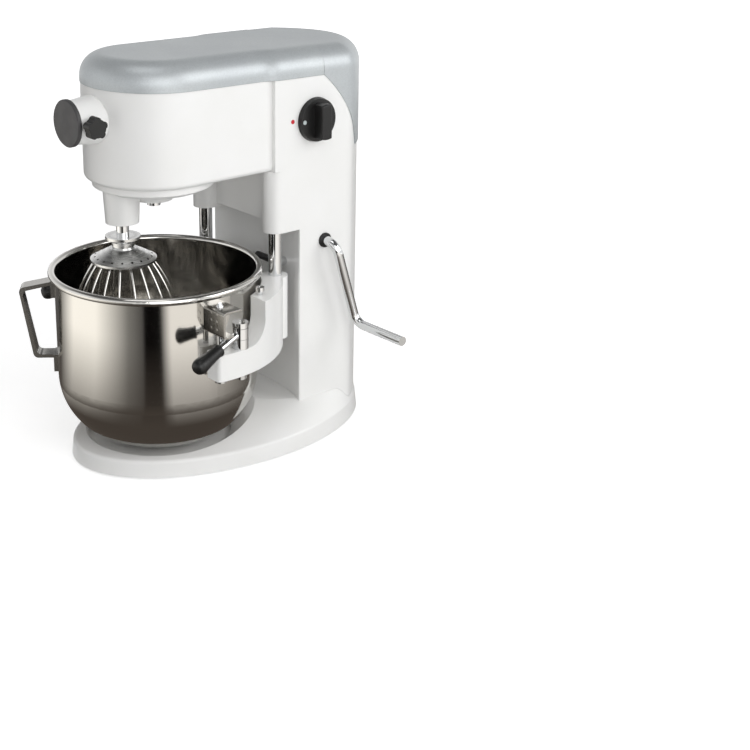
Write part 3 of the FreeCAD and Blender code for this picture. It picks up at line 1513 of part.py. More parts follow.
def speed_switch():
    inner = "column_half_width - column_wall"
    case = block(f"{inner} - switch_depth", inner, "knob_y - switch_width / 2", "knob_y + switch_width / 2",
                 "knob_z - switch_height / 2", "knob_z + switch_height / 2")
    neck = cylinder("switch_neck_radius", "column_wall", inner, "knob_y", "knob_z", "x")
    return cut(fuse(case, neck), cylinder("knob_stem_radius + running_clearance", "column_half_width",
                                          "column_half_width - switch_depth - gear_end_gap", "knob_y",
                                          "knob_z", "x"))


def control_board():
    wall = "column_wall - column_half_width"
    face = f"{wall} + board_standoff"
    board = block(face, f"{face} + board_thickness", "board_front", "board_front + board_width",
                  "board_bottom", "board_bottom + board_height")
    posts = [cylinder("standoff_radius", "board_standoff", wall, y, z, "x")
             for y in ("board_front + 2 * standoff_radius",
                       "board_front + board_width - 2 * standoff_radius")
             for z in ("board_bottom + 2 * standoff_radius",
                       "board_bottom + board_height - 2 * standoff_radius")]
    capacitor = cylinder("capacitor_radius", "capacitor_length", f"{face} + board_thickness",
                         "board_front + board_width / 2", "board_bottom + board_height / 3", "x")
    return fuse(board, capacitor, *posts)


def cord_gland():
    solid = fuse(cylinder("gland_radius", "gland_proud", "0", "column_back", "gland_height", "y"),
                 cylinder("gland_radius - bush_shoulder", "column_wall", "0", "column_back - column_wall",
                          "gland_height", "y"))
    return cut(solid, cylinder("gland_bore", "column_back", "0", "column_back / 2", "gland_height", "y"))


node("speed_knob", speed_knob())
node("speed_knob_mark", speed_knob_mark())
node("index_mark", index_mark())
node("speed_switch", speed_switch())
node("control_board", control_board())
node("cord_gland", cord_gland())


# Check every piece and write it

def write_parts():
    doc.recompute()
    failed = [f"{part.Label}: {part.State}" for part in doc.Objects if {"Invalid",
                                                                        "Error"} & set(part.State)]
    failed += [label for label, part in nodes.items() if part.Shape.isNull() or not part.Shape.isValid()]
    if failed:
        raise RuntimeError("pieces that did not build: " + "; ".join(failed))
    os.makedirs("parts", exist_ok=True)
    for label, part in nodes.items():
        part.Shape.exportStep(f"parts/{label}.step")


write_parts()
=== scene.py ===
# %% [markdown]
# A bowl-lift stand mixer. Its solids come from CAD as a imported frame: every node stands in the same
# place, in metres, with +Z up, the front towards -Y and the crank on the +X side. This lesson gives
# each node the finish that its real counterpart has, adds the small formed pieces, and lights and
# frames the whole as a plain studio picture.

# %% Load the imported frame
import json
import math
import bpy
import numpy as np
from mathutils import Matrix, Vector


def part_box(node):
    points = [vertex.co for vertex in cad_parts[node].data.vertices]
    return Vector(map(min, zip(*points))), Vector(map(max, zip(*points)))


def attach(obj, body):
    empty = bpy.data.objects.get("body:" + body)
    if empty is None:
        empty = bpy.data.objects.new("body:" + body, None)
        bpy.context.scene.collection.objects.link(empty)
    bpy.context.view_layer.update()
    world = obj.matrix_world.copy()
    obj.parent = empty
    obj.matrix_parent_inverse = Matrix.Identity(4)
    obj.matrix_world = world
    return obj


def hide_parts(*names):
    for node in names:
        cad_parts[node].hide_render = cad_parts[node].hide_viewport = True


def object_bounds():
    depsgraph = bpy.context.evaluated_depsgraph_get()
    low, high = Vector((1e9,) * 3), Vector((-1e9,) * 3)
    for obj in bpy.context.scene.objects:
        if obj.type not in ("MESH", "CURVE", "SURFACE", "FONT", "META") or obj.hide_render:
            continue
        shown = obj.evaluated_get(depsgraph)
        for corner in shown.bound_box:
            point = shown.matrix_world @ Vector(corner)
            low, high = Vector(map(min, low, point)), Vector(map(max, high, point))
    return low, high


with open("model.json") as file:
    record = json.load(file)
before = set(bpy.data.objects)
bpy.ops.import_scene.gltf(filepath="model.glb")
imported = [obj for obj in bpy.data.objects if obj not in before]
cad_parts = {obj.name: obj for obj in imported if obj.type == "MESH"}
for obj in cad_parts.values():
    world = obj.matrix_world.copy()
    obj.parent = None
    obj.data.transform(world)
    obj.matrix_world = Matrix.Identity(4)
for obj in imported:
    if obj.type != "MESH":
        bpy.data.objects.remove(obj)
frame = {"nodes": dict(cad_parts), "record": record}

MM = 0.001


def in_mm(box):
    """The corners of a box in metres, as rounded millimetres for printing."""
    return [[round(v / MM, 1) for v in corner] for corner in box]


scene = bpy.context.scene
scene.view_settings.view_transform = "Standard"
nodes = frame["nodes"]
cad_box = [list(map(float, corner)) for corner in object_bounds()]
print(len(nodes), "nodes, box in mm", in_mm(cad_box))

# %% [markdown]
# The camera. The picture was taken from the front and the crank side, a little above the bowl's rim,
# with a long lens. Tracking a target with a constraint would be quicker to write, but the view was
# measured: the angles below, and the place of the rim's centre in the camera's own axes, put every
# edge where the picture has it. The machine stands off centre in the square frame, and the lens shift
# gives just that.

# %% Camera
bowl_low, bowl_high = np.array(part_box("bowl"))
rim_centre = np.append((bowl_low + bowl_high)[:2] / 2, bowl_high[2])
azimuth, pitch = math.radians(51.22), math.radians(19.63)
right = np.array([math.cos(azimuth), math.sin(azimuth), 0.0])
forward = np.array([-right[1] * math.cos(pitch), right[0] * math.cos(pitch), -math.sin(pitch)])
up = np.cross(right, forward)
rim_in_view_mm = np.array([-144.4, 45.0, 1845.8])
camera_place = rim_centre - (rim_in_view_mm * MM) @ np.array([right, up, forward])


def stand_at(thing, across, upward, back, place):
    """Stands an object at place with its own X, Y and Z axes along three directions, and links it."""
    stance = np.eye(4)
    stance[:3] = np.column_stack([across, upward, back, place])
    thing.matrix_world = Matrix(stance.tolist())
    scene.collection.objects.link(thing)


lens = bpy.data.cameras.new("studio_camera")
lens.sensor_width = 36.0
lens.lens = 79.4
lens.shift_x, lens.shift_y = 0.12, -0.0933
camera = bpy.data.objects.new("studio_camera", lens)
stand_at(camera, right, up, -forward, camera_place)
scene.camera = camera
print("camera at", camera_place.round(3))

# %% [markdown]
# Colour, nodes and meshes. Finishes are written as sRGB hex codes, as a paint card gives them, and
# Blender's shaders want linear light, so one function converts them. Another small function adds any
# node with its settings and links, which keeps each material below short enough to read as a recipe.
# A third turns arrays of points and faces into an object.

# %% Colour, node and mesh helpers
def linear(code):
    """Linear colour of an sRGB hex code: c / 12.92 in the darkest part, else ((c + 0.055) / 1.055) to
    the power 2.4."""
    srgb = np.array([int(code[i:i + 2], 16) for i in (1, 3, 5)]) / 255
    light = np.where(srgb <= 0.04045, srgb / 12.92, ((srgb + 0.055) / 1.055) ** 2.4)
    return (*light.tolist(), 1.0)


def add(tree, kind, inputs=None, **settings):
    """One new node: settings are its own properties, with stops for a colour ramp's places and codes;
    inputs are values for its sockets, or sockets that feed them."""
    node = tree.nodes.new("ShaderNode" + kind)
    for name, value in settings.items():
        if name == "stops":
            ramp = node.color_ramp.elements
            for place, _ in value[2:]:
                ramp.new(place)
            for stop, (place, code) in zip(ramp, value):
                stop.position, stop.color = place, linear(code)
        else:
            setattr(node, name, value)
    for name, value in (inputs or {}).items():
        if isinstance(value, bpy.types.NodeSocket):
            tree.links.new(value, node.inputs[name])
        else:
            node.inputs[name].default_value = value
    return node


def begin(name, **constants):
    """A new material with a Principled shader; constants are written on the shader's own sockets."""
    material = bpy.data.materials.new(name)
    material.use_nodes = True
    shader = material.node_tree.nodes["Principled BSDF"]
    for socket, value in constants.items():
        shader.inputs[socket.replace("_", " ")].default_value = value
    return material, material.node_tree, shader


def feed(tree, shader, **sockets):
    """Links nodes' first outputs to the shader's sockets of those names."""
    for socket, node in sockets.items():
        tree.links.new(node.outputs[0], shader.inputs[socket.replace("_", " ")])


def object_space(tree):
    """The node's own coordinates, which are the machine's, because every object sits at the origin."""
    return add(tree, "TexCoord").outputs["Object"]


def make(name, points, faces):
    """A new object at the origin from an array of points and a list of faces."""
    mesh = bpy.data.meshes.new(name)
    mesh.from_pydata(points.tolist(), [], faces)
    thing = bpy.data.objects.new(name, mesh)
    scene.collection.objects.link(thing)
    return thing


print("white enamel in linear light", [round(v, 3) for v in linear("#F3F3F2")])

# %% [markdown]
# The studio. The real picture has a pure white surround. Turning up the lamps until a floor clips
# would also bleach the white machine, so the surround is made white only for the rays that see it
# directly, in a reflection or through glass, and the lamps stay at a plain level. The floor is a pale
# sheet that adds its own light for those same rays, painted light that grows away from the machine,
# and still takes the machine's shadow. A dark studio ceiling, as in most studios, is why the inside of
# the real bowl looks deep brown although it is bright steel. Here only mirror rays see that dark
# ceiling: a painted reflection, as the soft light of the room is even.

# %% World and floor
def seen_rays(tree):
    """1 for the rays that see the surround: camera, mirror and glass rays. Also gives the path node."""
    path = add(tree, "LightPath")
    first = add(tree, "Math", {0: path.outputs["Is Camera Ray"], 1: path.outputs["Is Glossy Ray"]},
                operation="MAXIMUM")
    either = add(tree, "Math", {0: first.outputs[0], 1: path.outputs["Is Transmission Ray"]},
                 operation="MAXIMUM")
    return either, path


pure_white = linear("#FFFFFF")
soft_level, ceiling_level = 0.36, 0.12
world = bpy.data.worlds.new("white_studio")
world.use_nodes = True
scene.world = world
air = world.node_tree
seen, path = seen_rays(air)
way_up = add(air, "SeparateXYZ", {0: add(air, "TexCoord").outputs["Generated"]})
# Painted reflection: mirror rays see the surround darken from 1.0 to ceiling_level towards the top.
ceiling = add(air, "MapRange", {"Value": way_up.outputs["Z"], "From Min": 0.25, "From Max": 0.75,
                                "To Min": 1.0, "To Max": ceiling_level})
mirrored = add(air, "Math", {0: ceiling.outputs[0], 1: path.outputs["Is Camera Ray"]},
               operation="MAXIMUM")
soft = add(air, "Background", {"Color": pure_white, "Strength": soft_level})
white = add(air, "Background", {"Color": pure_white, "Strength": mirrored.outputs[0]})
both = add(air, "MixShader", {0: seen.outputs[0], 1: soft.outputs[0], 2: white.outputs[0]})
air.links.new(both.outputs[0], air.nodes["World Output"].inputs["Surface"])

floor_reach = 6.0
square = np.array([[-1, -1, 0], [1, -1, 0], [1, 1, 0], [-1, 1, 0]])
floor = make("floor", floor_reach * square, [(0, 1, 2, 3)])

sheet, tree, shader = begin("white_paper_sheet", Base_Color=linear("#E2E2E2"), Roughness=0.9,
                            Emission_Color=pure_white)
away = add(tree, "VectorMath", {0: object_space(tree)}, operation="LENGTH")
# Painted light: the floor's glow grows from 0.6 within half a metre of the machine to 1.0 three metres
# out.
far_glow = add(tree, "MapRange", {"Value": away.outputs["Value"], "From Min": 0.5, "From Max": 3.0,
                                  "To Min": 0.6, "To Max": 1.0})
glow = add(tree, "Math", {0: seen_rays(tree)[0].outputs[0], 1: far_glow.outputs[0]},
           operation="MULTIPLY")
feed(tree, shader, Emission_Strength=glow)
floor.data.materials.append(sheet)
print("floor", 2 * floor_reach, "m square")

# %% [markdown]
# The lamps. Four large soft panels: the key over the camera's right shoulder, which keeps the crank
# side bright; one behind it on the same side, which draws the long highlight along the grey covers; a
# weak fill from the left for the bowl; and a top panel. Sun lamps would give hard edges that the
# picture doesn't have.

# %% Lamps
def panel_lamp(name, place, target, size, power):
    """A square soft panel at place, turned so that its own -Z axis looks at target."""
    lamp = bpy.data.lights.new(name, "AREA")
    lamp.size, lamp.energy = size, power
    look = np.array(target) - place
    look /= np.linalg.norm(look)
    side = np.cross(look, [0, 0, 1])
    side /= np.linalg.norm(side)
    stand_at(bpy.data.objects.new(name, lamp), side, np.cross(side, look), -look, place)


middle = (np.array(cad_box[0]) + cad_box[1]) / 2
panels = {  # metres from the machine's middle, width in metres, watts
    "key_panel": ([2.3, -0.7, 0.9], 2.0, 26),
    "side_panel": ([1.8, 1.4, 1.1], 1.4, 18),
    "fill_panel": ([-1.5, -2.2, 1.1], 1.6, 3),
    "top_panel": ([0.3, -0.5, 2.2], 1.2, 7),
}
for name, (offset, size, power) in panels.items():
    panel_lamp(name, middle + offset, middle, size, power)
print("lamps", list(panels))

# %% [markdown]
# Reflection cards. Polished metal has no colour of its own: it shows what stands around it, and in an
# all-white room it looks like paper. Photographers lay shaded cards where they want bright and dark
# stripes; these cards are glowing sheets, so their stripes are a painted reflection. The bowl's wall is
# upright and the camera looks down on it, so the wall mirrors the floor in front of it, and the card
# lies there: a ring on the floor whose glow changes with the direction from the bowl. It is dark
# towards the camera, which paints the dark band down the middle of the bowl, and dark close to the
# base, a painted shade where the bowl turns under. A second, narrow card hangs over the base. Only
# mirror rays see them.

# %% Reflection cards round the bowl
# Painted reflection: the shades of the bowl's stripes, by degrees from the camera's direction, and
# foot_shade, the painted shade where the bowl turns under.
bright, pale, half, dim, black = "#FBF7EF", "#E2DED8", "#767470", "#4A4846", "#060505"
painted_stripe_stops = ((-180, dim), (-125, dim), (-95, bright), (-62, bright), (-25, half), (-10, dim),
               (-8, black), (8, black), (18, pale), (55, pale), (120, dim), (180, dim))
foot_shade = "#403A35"
steel_mirrors = 0.62
towards_camera = math.atan2(-forward[1], -forward[0])
card_sides = 96


def even_turns(count):
    """count even steps round a full turn, in radians; the one that would meet the first is left out."""
    return np.linspace(0, 2 * math.pi, count + 1)[:-1]


def ring_card(name, near, far, height, fade):
    """A flat ring round the bowl's axis: each corner is the axis plus near or far along an even turn of
    directions. Its glow is a painted reflection: it goes from the painted shade foot_shade at the first
    radius of fade to the stripe stops, by degrees from the camera's direction, at the second. It is
    divided by the share of light that steel mirrors."""
    angle = even_turns(card_sides)[:, None]
    way = np.hstack([np.cos(angle), np.sin(angle), 0 * angle])
    ground = np.array([*rim_centre[:2], height])
    here = np.arange(card_sides)
    after = (here + 1) % card_sides
    faces = np.column_stack([here, here + card_sides, after + card_sides, after])
    card = make(name, np.concatenate([ground + near * way, ground + far * way]), faces.tolist())
    card.visible_camera = card.visible_diffuse = card.visible_shadow = card.visible_transmission = False

    # Painted reflection: a black sheet that only glows, in the shades above, brightened by the share that
    # steel mirrors.
    painted_reflection, tree, shader = begin(name + "_paper", Base_Color=linear("#000000"), Roughness=1.0,
                                Specular_IOR_Level=0.0, Emission_Strength=1.0 / steel_mirrors)
    place = add(tree, "Mapping", {"Vector": object_space(tree), "Location": (-ground).tolist()})
    turned = add(tree, "VectorRotate", {"Vector": place.outputs[0], "Angle": -towards_camera},
                 rotation_type="Z_AXIS")
    sweep = add(tree, "TexGradient", {"Vector": turned.outputs[0]}, gradient_type="RADIAL")
    shade = add(tree, "ValToRGB", {"Fac": sweep.outputs[1]},
                stops=[((turn + 180) / 360, code) for turn, code in painted_stripe_stops])
    away = add(tree, "VectorMath", {0: place.outputs[0]}, operation="LENGTH")
    rise = add(tree, "MapRange", {"Value": away.outputs["Value"], "From Min": fade[0],
                                  "From Max": fade[1]})
    tone = add(tree, "MixRGB", {0: rise.outputs[0], 1: linear(foot_shade), 2: shade.outputs[0]})
    feed(tree, shader, Emission_Color=tone)
    card.data.materials.append(painted_reflection)
    print(name, "from", near, "to", far, "m")


over_floor, over_bowl_foot = 1 * MM, 14 * MM
ring_card("floor_card", near=0.13, far=2.0, height=over_floor, fade=(0.2, 0.55))
ring_card("base_card", near=0.085, far=0.17, height=bowl_low[2] + over_bowl_foot, fade=(0.12, 0.4))

# %% [markdown]
# Stoved enamel. The castings are sprayed white and baked. The paint pulls into a very faint orange
# peel and lies a little thinner and duller here and there, so highlights break up softly. Ripples
# about 3 mm apart show as a bump; a second, broad noise shifts the gloss and the tint by a hair. A
# plain glossy white would look like plastic.

# %% White stoved enamel
def per_m(size_mm):
    """Texture scale, in features per metre, of a pattern whose features are size_mm apart."""
    return 1000.0 / size_mm


def enamel(name, light_code, dark_code, gloss, drift_mm=60, gloss_drift=0.03, peel_mm=3.0, **constants):
    """Baked paint: tint and gloss drift over drift_mm, orange peel of peel_mm, edges rounded by the
    paint."""
    material, tree, shader = begin(name, **constants)
    place = object_space(tree)
    drift = add(tree, "TexNoise", {"Vector": place, "Scale": per_m(drift_mm), "Detail": 3.0})
    tint = add(tree, "ValToRGB", {"Fac": drift.outputs[0]},
               stops=((0.3, dark_code), (0.7, light_code)))
    sheen = add(tree, "MapRange", {"Value": drift.outputs[0], "To Min": gloss + gloss_drift,
                                   "To Max": gloss - gloss_drift})
    peel = add(tree, "TexNoise", {"Vector": place, "Scale": per_m(peel_mm), "Detail": 1.0})
    edge = add(tree, "Bevel", {"Radius": 0.8 * MM}, samples=4)
    ripple = add(tree, "Bump", {"Height": peel.outputs[0], "Strength": 0.05, "Distance": 0.3 * MM,
                                "Normal": edge.outputs[0]})
    feed(tree, shader, Base_Color=tint, Roughness=sheen, Normal=ripple)
    return material, tree, shader


def dress(material, *names):
    """Puts one finish on the material slots of the named nodes."""
    for name in names:
        for slot in nodes[name].material_slots:
            slot.material = material
    print(material.name, "on", len(names), "nodes")


white_enamel = enamel("white_stoved_enamel", "#F3F3F2", "#F0F0EE", gloss=0.3)[0]
dress(white_enamel, "base_casting", "column_housing", "head_housing", "attachment_hub", "yoke",
      "planet_carrier")

# %% [markdown]
# Grey metallic paint. The two covers are sprayed satin silver-grey: fine aluminium flakes lie in the
# binder and give a broad, soft highlight. Flakes are about 0.05 mm; they are drawn 1.2 mm across, or
# they would vanish at this picture's size. A part-metallic shader stands for flakes in a binder.

# %% Satin metallic enamel
flake_mm = 1.2
satin_grey, tree, shader = enamel("satin_metallic_enamel", "#BABFC1", "#B4B9BC", gloss=0.4,
                                  Metallic=0.35)
flake = add(tree, "TexVoronoi", {"Vector": object_space(tree), "Scale": per_m(flake_mm)})
shift = add(tree, "MapRange", {"Value": flake.outputs["Color"], "To Min": 0.94, "To Max": 1.06})
painted = shader.inputs["Base Color"].links[0].from_socket
glint = add(tree, "HueSaturation", {"Color": painted, "Saturation": 1.0, "Value": shift.outputs[0]})
feed(tree, shader, Base_Color=glint)
dress(satin_grey, "top_cover", "rear_cover")

# %% [markdown]
# Spun and polished stainless steel. The bowl is spun over a former and polished on the lathe, so it
# carries fine scratches that run round it. They vary quickly up the wall and slowly around it, which a
# noise drawn out along X and Y gives. Real scratches are a few hundredths of a millimetre apart;
# 0.8 mm is as fine as shows here. The handle and lugs are brushed strip, with the grain upright.

# %% Spun stainless steel
def steel(name, code, gloss, grain_mm, stretch, strength=0.08, spread=(0.8, 1.25)):
    """A bare metal with scratches: noise whose features are grain_mm apart, drawn out by stretch along
    each axis, which also moves the gloss between the two shares in spread."""
    material, tree, shader = begin(name, Base_Color=linear(code), Metallic=1.0)
    squeeze = add(tree, "Mapping", {"Vector": object_space(tree), "Scale": [1.0 / s for s in stretch]})
    grain = add(tree, "TexNoise", {"Vector": squeeze.outputs[0], "Scale": per_m(grain_mm),
                                   "Detail": 2.0})
    sheen = add(tree, "MapRange", {"Value": grain.outputs[0], "From Min": 0.3, "From Max": 0.7,
                                   "To Min": gloss * spread[0], "To Max": gloss * spread[1]})
    scratch = add(tree, "Bump", {"Height": grain.outputs[0], "Strength": strength,
                                 "Distance": 0.1 * MM})
    feed(tree, shader, Roughness=sheen, Normal=scratch)
    return material


spun_steel = steel("spun_stainless_steel", "#CDCBC7", gloss=0.1, grain_mm=0.8, stretch=(60, 60, 1),
                   strength=0.05)
dress(spun_steel, "bowl")
strip_steel = steel("brushed_stainless_strip", "#A3A19D", gloss=0.2, grain_mm=0.7, stretch=(1, 1, 40))
dress(strip_steel, "bowl_handle", "bowl_lugs")

# %% [markdown]
# Bright metals. Rods, crank, pins and levers are chrome plated over ground steel: almost a mirror,
# with hairline grinding marks round the upright bars. The whisk's wires are drawn stainless, the cap,
# bush and collar turned aluminium, whose lathe rings follow the whisk's own axis. The first two take
# the steel recipe with their own colour, gloss and grain, and the rings need a recipe of their own.

# %% Chrome, wire and turned aluminium
chrome = steel("chrome_plated_steel", "#DADBDC", gloss=0.07, grain_mm=0.6, stretch=(25, 25, 1),
               strength=0.03)
dress(chrome, "guide_rods", "crank_handle", "locating_pins", "clamp_studs", "rim_stops",
      "clamp_lever_right", "clamp_lever_left", "lock_lever", "lock_stud", "carrier_bolt",
      "beater_shaft")
drawn_wire = steel("drawn_stainless_wire", "#D8D6D2", gloss=0.16, grain_mm=0.5, stretch=(1, 1, 20),
                   strength=0.04)
dress(drawn_wire, "whisk_wires")
whisk_axis = np.array(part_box("whisk_bush")).sum(axis=0) / 2
wave_radians = 20


def turned_metal(name, code, gloss, ring_mm, centre, strength=0.15, spread=(0.75, 1.3)):
    """A lathe-turned metal: rings about a point on the turning axis, ring_mm apart, on flanges and
    barrels alike. Blender's wave runs through wave_radians per unit, so one ring is a full turn's share
    of that."""
    material, tree, shader = begin(name, Base_Color=linear(code), Metallic=1.0)
    place = add(tree, "Mapping", {"Vector": object_space(tree), "Location": (-centre).tolist()})
    rings = add(tree, "TexWave", {"Vector": place.outputs[0], "Distortion": 1.5, "Detail": 2.0,
                                  "Scale": per_m(ring_mm) * 2 * math.pi / wave_radians},
                wave_type="RINGS", rings_direction="SPHERICAL")
    sheen = add(tree, "MapRange", {"Value": rings.outputs[1], "To Min": gloss * spread[0],
                                   "To Max": gloss * spread[1]})
    cut = add(tree, "Bump", {"Height": rings.outputs[1], "Strength": strength, "Distance": 0.1 * MM})
    feed(tree, shader, Roughness=sheen, Normal=cut)
    return material


turned_aluminium = turned_metal("turned_aluminium", "#D2D2D1", gloss=0.24, ring_mm=6.3,
                                centre=whisk_axis)
dress(turned_aluminium, "shaft_collar", "whisk_bush", "whisk_cap")

# %% [markdown]
# Moulded plastics and rubber. Knobs and grips are black ABS with the fine spark-eroded grain of the
# mould, which keeps their highlights broad. The hub's cap is a greyer, duller moulding. Feet and belt
# are black rubber, and the two dots by the knob are pad printed. Grain of 0.15 mm is drawn 0.6 mm
# apart so that it shows.

# %% Moulded plastics and rubber
def moulded(name, code, worn_code, gloss, ior, grain_mm=0.6, strength=0.12, rub_mm=14, gloss_drift=0.08):
    """A moulded piece: grain as bump, with a slightly paler and glossier tint where hands rub it."""
    material, tree, shader = begin(name, IOR=ior)
    place = object_space(tree)
    grain = add(tree, "TexNoise", {"Vector": place, "Scale": per_m(grain_mm), "Detail": 2.0})
    rub = add(tree, "TexNoise", {"Vector": place, "Scale": per_m(rub_mm), "Detail": 3.0})
    tint = add(tree, "ValToRGB", {"Fac": rub.outputs[0]}, stops=((0.4, code), (0.75, worn_code)))
    sheen = add(tree, "MapRange", {"Value": rub.outputs[0], "To Min": gloss + gloss_drift,
                                   "To Max": gloss - gloss_drift})
    edge = add(tree, "Bevel", {"Radius": 0.6 * MM}, samples=4)
    skin = add(tree, "Bump", {"Height": grain.outputs[0], "Strength": strength, "Distance": 0.1 * MM,
                              "Normal": edge.outputs[0]})
    feed(tree, shader, Base_Color=tint, Roughness=sheen, Normal=skin)
    return material


black_abs = moulded("moulded_black_abs", "#111111", "#161616", gloss=0.4, ior=1.45)
dress(black_abs, "speed_knob", "star_knob", "clamp_grip_right", "clamp_grip_left", "lock_grip",
      "crank_bush", "cord_gland", "speed_switch")
grey_cap = moulded("moulded_grey_cap", "#3F3E3F", "#464546", gloss=0.5, ior=1.5)
dress(grey_cap, "hub_cap")
rubber = moulded("black_rubber", "#1A1A1A", "#262625", gloss=0.75, ior=1.52, grain_mm=0.8, strength=0.2)
dress(rubber, "rubber_feet", "drive_belt")
red_ink = moulded("red_pad_ink", "#C4202C", "#CC2A34", gloss=0.45, ior=1.5)
dress(red_ink, "index_mark")
pale_ink = moulded("pale_pad_ink", "#B9C4C4", "#C6CFCF", gloss=0.45, ior=1.5)
dress(pale_ink, "speed_knob_mark")
board = moulded("green_board_laminate", "#2E5A3C", "#356646", gloss=0.5, ior=1.55, grain_mm=0.9,
                strength=0.15)
dress(board, "control_board")

# %% [markdown]
# The works inside. They show only when the covers come off, but each still has its maker's finish:
# iron gears with cutter marks, ground shafts, brass bushes, an aluminium bridge, and zinc-plated
# pressings.

# %% Works inside
gear_iron = steel("machined_cast_iron", "#6B6B6C", gloss=0.38, grain_mm=0.9, stretch=(1, 1, 12),
                  strength=0.15)
dress(gear_iron, "ring_gear", "planet_pinion", "drive_bevel", "hub_pinion", "lift_pinion")
ground_steel = steel("ground_steel", "#A9A9A8", gloss=0.25, grain_mm=0.6, stretch=(20, 20, 1),
                     strength=0.06)
dress(ground_steel, "main_shaft", "main_shaft_bearings", "planet_bearings", "hub_shaft", "motor_rotor",
      "lift_rack")
zinc_plate = steel("zinc_plated_steel", "#B4B6B6", gloss=0.35, grain_mm=4.0, stretch=(1, 1, 1),
                   strength=0.05)
dress(zinc_plate, "motor_bracket", "base_plate", "plate_screws", "motor_housing")
cast_alloy = steel("cast_aluminium", "#BDBDBB", gloss=0.45, grain_mm=1.5, stretch=(1, 1, 1),
                   strength=0.25)
dress(cast_alloy, "gear_bridge", "driven_pulley", "motor_pulley")
brass = steel("machined_brass", "#C6A24E", gloss=0.28, grain_mm=0.7, stretch=(15, 15, 1))
dress(brass, "guide_bushes")

# %% [markdown]
# Grips. The clamp levers end in black moulded grips: a small collar at the neck, a slow flare, and a
# blunt, well rounded end. The CAD grips are plainer, and these replace them. They are lathe shapes, and
# so are the wire ends and weld prints that follow. A Screw modifier could make such shapes one at a
# time. A grid of angle and profile step makes any number of copies in one array instead.

# %% Grips on the clamp levers
def turned_pieces(name, profile_mm, starts, ways, material, count, crease=math.radians(40)):
    """Copies of a lathe shape: point = start + along * way + radius * (cos(angle) * side + sin(angle) *
    across). The profile's rows are radius and along in mm; its first and last rows lie on the axis and
    close the shape. Edges turned by more than crease stay sharp."""
    profile = np.array(profile_mm) * MM
    starts, ways = np.atleast_2d(starts), np.atleast_2d(ways)
    ways = ways / np.linalg.norm(ways, axis=1, keepdims=True)
    side = np.cross(ways, [0.0, 0.0, 1.0])
    side /= np.linalg.norm(side, axis=1, keepdims=True)
    angle = even_turns(count)[:, None]
    spokes = np.cos(angle) * side[:, None] + np.sin(angle) * np.cross(ways, side)[:, None]
    radius, along = profile[1:-1].T[:, :, None, None]
    rings = starts[:, None, None] + along * ways[:, None, None] + radius * spokes[:, None]
    poles = starts[:, None] + profile[[0, -1], 1, None] * ways[:, None]
    points = np.concatenate([rings.reshape(len(starts), -1, 3), poles], axis=1)

    steps, per_copy = len(profile) - 2, points.shape[1]
    here = np.arange(count)
    after = (here + 1) % count
    row = count * np.arange(steps - 1)[:, None]
    quads = np.stack([row + here, row + after, row + count + after, row + count + here], axis=-1)
    last = count * (steps - 1)
    caps = np.concatenate([np.column_stack([0 * here + per_copy - 2, after, here]),
                           np.column_stack([0 * here + per_copy - 1, last + here, last + after])])
    shift = per_copy * np.arange(len(starts))[:, None, None]
    faces = (quads.reshape(-1, 4) + shift).reshape(-1, 4).tolist()
    faces += (caps + shift).reshape(-1, 3).tolist()
    piece = make(name, points.reshape(-1, 3), faces)
    piece.data.polygons.foreach_set("use_smooth", np.ones(len(faces), dtype=bool))
    piece.data.set_sharp_from_angle(angle=crease)
    piece.data.materials.append(material)
    print(name, len(starts), "copies,", len(faces), "faces")
    return piece


grip_mm = [(0, 0), (5.4, 0), (6.8, 0.5), (7.2, 1.4), (7.2, 2.8), (6.7, 3.5), (6.6, 5), (6.8, 10),
           (7.4, 18), (8.2, 26), (8.8, 32), (8.7, 35), (8.0, 37.5), (7.0, 39.6), (5.2, 41.2),
           (2.7, 41.9), (0, 42)]
grip_start_mm = 38.0
lever_run_mm = np.array([20.0, -70.0, -17.0])
joint_places = {joint["child"]: np.array(joint["pos_m"])
                for joint in frame["record"]["behaviour"]["joints"] if "pos_m" in joint}
for side_name, out in (("right", 1.0), ("left", -1.0)):
    lever_way = lever_run_mm * [out, 1.0, 1.0]
    clamp = "clamp_" + side_name
    neck = joint_places[clamp] + grip_start_mm * MM * lever_way / np.linalg.norm(lever_way)
    grip = turned_pieces("flared_grip_" + side_name, grip_mm, neck, lever_way, black_abs, count=48)
    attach(grip, clamp)
    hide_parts("clamp_grip_" + side_name)

# %% [markdown]
# Wire ends. The wires of the whisk pass through its cone-shaped cap and are peened over outside, where a
# ring of dark dots shows. A bump in the cap's material would give the dots no edge of their own, so each
# is a low stud that stands square to the cone, in a near-black steel colour.

# %% Wire ends in the whisk's cap
# The studs are coloured near black; that colour alone makes the dots dark.
dark_end_steel = steel("near_black_wire_ends", "#2E2B29", gloss=0.45, grain_mm=0.8, stretch=(1, 1, 1), strength=0.2)
wire_end_mm = [(0, -0.8), (1.2, -0.8), (1.25, 0.05), (0.9, 0.25), (0, 0.3)]
wire_count, first_turn = 18, math.radians(4)
end_drop_mm, end_radius_mm = 8.8, 31.5
cone_out, cone_up = 0.471, 0.882
turn = even_turns(wire_count) + first_turn
outward = np.column_stack([np.cos(turn), np.sin(turn), 0 * turn])
cap_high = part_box("whisk_cap")[1][2]
dots = np.array([*whisk_axis[:2], cap_high - end_drop_mm * MM]) + end_radius_mm * MM * outward
square_to_cone = cone_out * outward + [0, 0, cone_up]
wire_ends = turned_pieces("wire_ends", wire_end_mm, dots, square_to_cone, dark_end_steel, count=12)
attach(wire_ends, "beater")

# %% [markdown]
# Weld prints. The lugs on the bowl are spot welded, and each weld leaves a shallow round print: a raised
# edge round a hollow. Cutting the hollows into the plate would take a boolean for each, so the prints
# are thin turned discs set into the plate's face, six on each lug.

